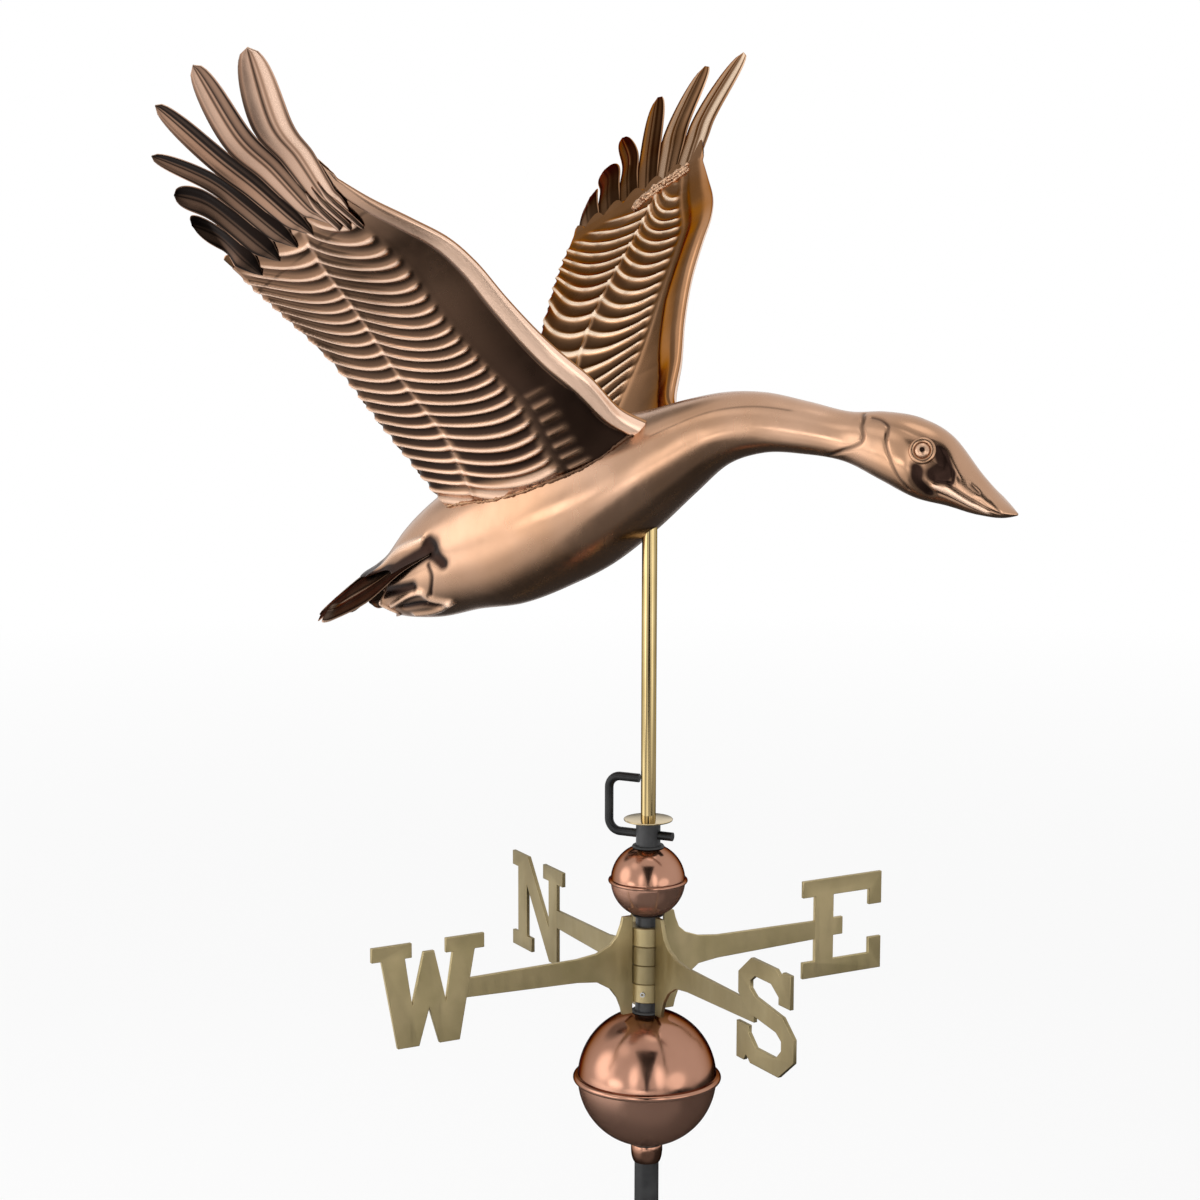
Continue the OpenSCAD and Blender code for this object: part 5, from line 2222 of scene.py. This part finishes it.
def build_figure() -> None:
    """Build and dress the goose."""
    tube_over_base = 52.0
    near_swell = 11.0
    form = GooseForm(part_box("swivel_tube")[1].z / MM - tube_over_base)
    body_copper = CopperFinish(
        "body_copper", hollow=(0.03, 0.016, 0.012), patina_and_painted_shade_share=1.0, crest_metal=0.6,
        polish=(0.18, 0.3),
    )
    # The wing copper comes in two painted tones by face: a darker copy for the lower skins, which
    # face down into shade, and a lighter, more orange copy for the upper skins, which face the
    # light.
    wing_copper = CopperFinish(
        "wing_copper", (0.44, 0.26, 0.165), (0.36, 0.20, 0.12), crest=(0.95, 0.65, 0.48),
        hollow=(0.04, 0.022, 0.016), patina_and_painted_shade_share=1.0, crest_metal=0.45, dent_mm=0.2,
    )
    upper_copper = CopperFinish(
        "upper_copper", (0.50, 0.275, 0.15), (0.41, 0.21, 0.105), crest=(1.0, 0.78, 0.58),
        hollow=(0.05, 0.026, 0.014), patina_and_painted_shade_share=1.0, edge=(0.4, 0.22, 0.13), crest_metal=0.4,
        dent_mm=0.2,
    )
    # The feathers' dark colour is near black, painted shade where one feather lies under the next.
    feather_copper = CopperFinish(
        "feather_copper", (0.46, 0.28, 0.19), (0.38, 0.215, 0.14), crest=(0.95, 0.66, 0.50),
        hollow=(0.015, 0.009, 0.007), patina_and_painted_shade_share=1.0, crest_metal=0.6, polish=(0.08, 0.18),
        dent_mm=0.3,
    )
    solder_copper = CopperFinish(
        "solder_copper", (0.60, 0.38, 0.22), (0.45, 0.25, 0.14), polish=(0.3, 0.45)
    )
    # The tail's copper is a far darker copy of the body's: painted shade under the body.
    tail_copper = CopperFinish(
        "tail_copper", (0.22, 0.15, 0.11), (0.15, 0.10, 0.07), crest=(0.70, 0.45, 0.34),
        hollow=(0.02, 0.012, 0.009), edge=(0.3, 0.2, 0.15), polish=(0.22, 0.36),
    )
    GooseBody(form).dress(body_copper.material())
    skins = {Face.LOWER: wing_copper.material(), Face.UPPER: upper_copper.material()}
    feather, solder = feather_copper.material(), solder_copper.material()
    for side in Side:
        swell = near_swell if side is Side.RIGHT else 0.0
        Wing(form, side, swell).dress(skins, feather, solder)
    TailFan(form).dress(tail_copper.material())


def build_mast() -> None:
    """Build and dress the rod, the collar, the globes, the tube, the disc and the fasteners."""
    dark_edge = (0.1, 0.09, 0.09)
    globe_copper = CopperFinish(
        "globe_copper", (0.46, 0.245, 0.17), (0.38, 0.195, 0.13), edge=dark_edge, dent_mm=0.12
    ).material()
    under_copper = CopperFinish(
        "under_copper", (0.44, 0.25, 0.18), (0.38, 0.21, 0.15), edge=dark_edge, metal=0.82,
        dent_mm=0.12,
    ).material()
    fine_grain = 0.006
    disc_brass = BrassFinish(
        "disc_brass", (0.62, 0.50, 0.31), (0.52, 0.41, 0.22), (0.1, 0.2), fine_grain
    )
    tube_brass = BrassFinish(
        "tube_brass", (0.50, 0.39, 0.19), (0.36, 0.27, 0.11), (0.05, 0.1), fine_grain,
        painted_reflection_streak=(0.09, 0.065, 0.025), edge=(0.12, 0.08, 0.03),
    )
    inner_brass = BrassFinish("inner_brass", (0.55, 0.41, 0.19))
    black = PaintFinish("black_steel")
    rubber = PaintFinish("grommet_rubber", (0.02, 0.02, 0.02), (0.05, 0.05, 0.05), (0.6, 0.8))
    hook_black = PaintFinish(
        "hook_black", (0.005, 0.005, 0.005), (0.015, 0.015, 0.015), (0.25, 0.4), sheen=0.25
    )
    for name, bead in (("large_ball", 4.6), ("small_ball", 2.4)):
        Globe(name, bead).dress(globe_copper, under_copper)
    bell_foot = ((0, 0), (0.2, 0), (0.3, 0.02), (0.66, 0.2), (0.86, 0.38), (0.98, 0.6))
    collar = (*bell_foot, (1, 0.66), (1, 0.95), (0.9, 1), (0, 1))
    tube = ((0, 0), (0.7, 0), (1, 0.001), (1, 0.999), (0.7, 1), (0, 1))
    disc = ((0, 0), (0.94, 0), (0.98, 0.12), (1, 0.4), (1, 0.7), (0.98, 0.92), (0.94, 1), (0, 1))
    mast, figure = Body.MAST, Body.FIGURE
    TurnedPiece("rod_collar", "stop_collar", mast, "globe_copper", collar, 12.1).dress(globe_copper)
    tube_piece = TurnedPiece("goose_tube", "swivel_tube", figure, "tube_brass", tube, 6.0)
    tube_piece.dress(tube_brass.material())
    disc_piece = TurnedPiece("goose_disc", "lift_disc", figure, "tube_brass", disc, 7.35)
    disc_piece.dress(disc_brass.material())
    packed = (
        (black, ("main_rod",)),
        (hook_black, ("hook",)),
        (rubber, ("large_ball_grommets", "small_ball_grommets")),
        (SteelFinish("screw_steel"), ("stop_collar_screw", "arm_screws")),
        (SteelFinish("ball_steel", polish=(0.08, 0.15)), ("thrust_ball",)),
        (inner_brass, ("bearing_plug", "tube_bush", "lower_plate", "upper_plate")),
    )
    for finish, nodes in packed:
        PackedPieces(finish.material(), nodes).dress()


def build_compass() -> None:
    """Build and dress the four lettered arms."""
    hub_mid = joint_height("compass_turn")
    # The arms' dark edge colour is painted shade.
    bright_plate = BrassFinish(
        "arm_brass", (0.56, 0.45, 0.25), (0.43, 0.35, 0.18), edge_wear_and_painted_shade=(0.18, 0.14, 0.07)
    ).material()
    # North and south arms take a darker copy of the arm brass: painted shade.
    painted_shade_plate = BrassFinish(
        "painted_shade_arm_brass", (0.37, 0.30, 0.165), (0.29, 0.23, 0.12), edge_wear_and_painted_shade=(0.14, 0.11, 0.055)
    ).material()
    arms = (
        (CompassArm("arm_west", Letter.W, 0, 2, False, 26, 0, 1.8, hub_mid), bright_plate),
        (CompassArm("arm_south", Letter.S, 1, 3, True, 30, -9.5, 2, hub_mid), painted_shade_plate),
        (CompassArm("arm_north", Letter.N, 2, 1, False, 20, -7, -3.5, hub_mid), painted_shade_plate),
        (CompassArm("arm_east", Letter.E, 3, 0, True, 24, -0.5, 5, hub_mid), bright_plate),
    )
    for arm, finish in arms:
        arm.dress(finish)


def main() -> None:
    """Build every sub-assembly, the camera and the studio."""
    logging.basicConfig(level=logging.INFO, format="%(message)s")
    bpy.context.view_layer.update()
    PhotoCamera().build()
    build_figure()
    build_mast()
    build_compass()
    Studio().build()


if __name__ == "__main__":
    main()
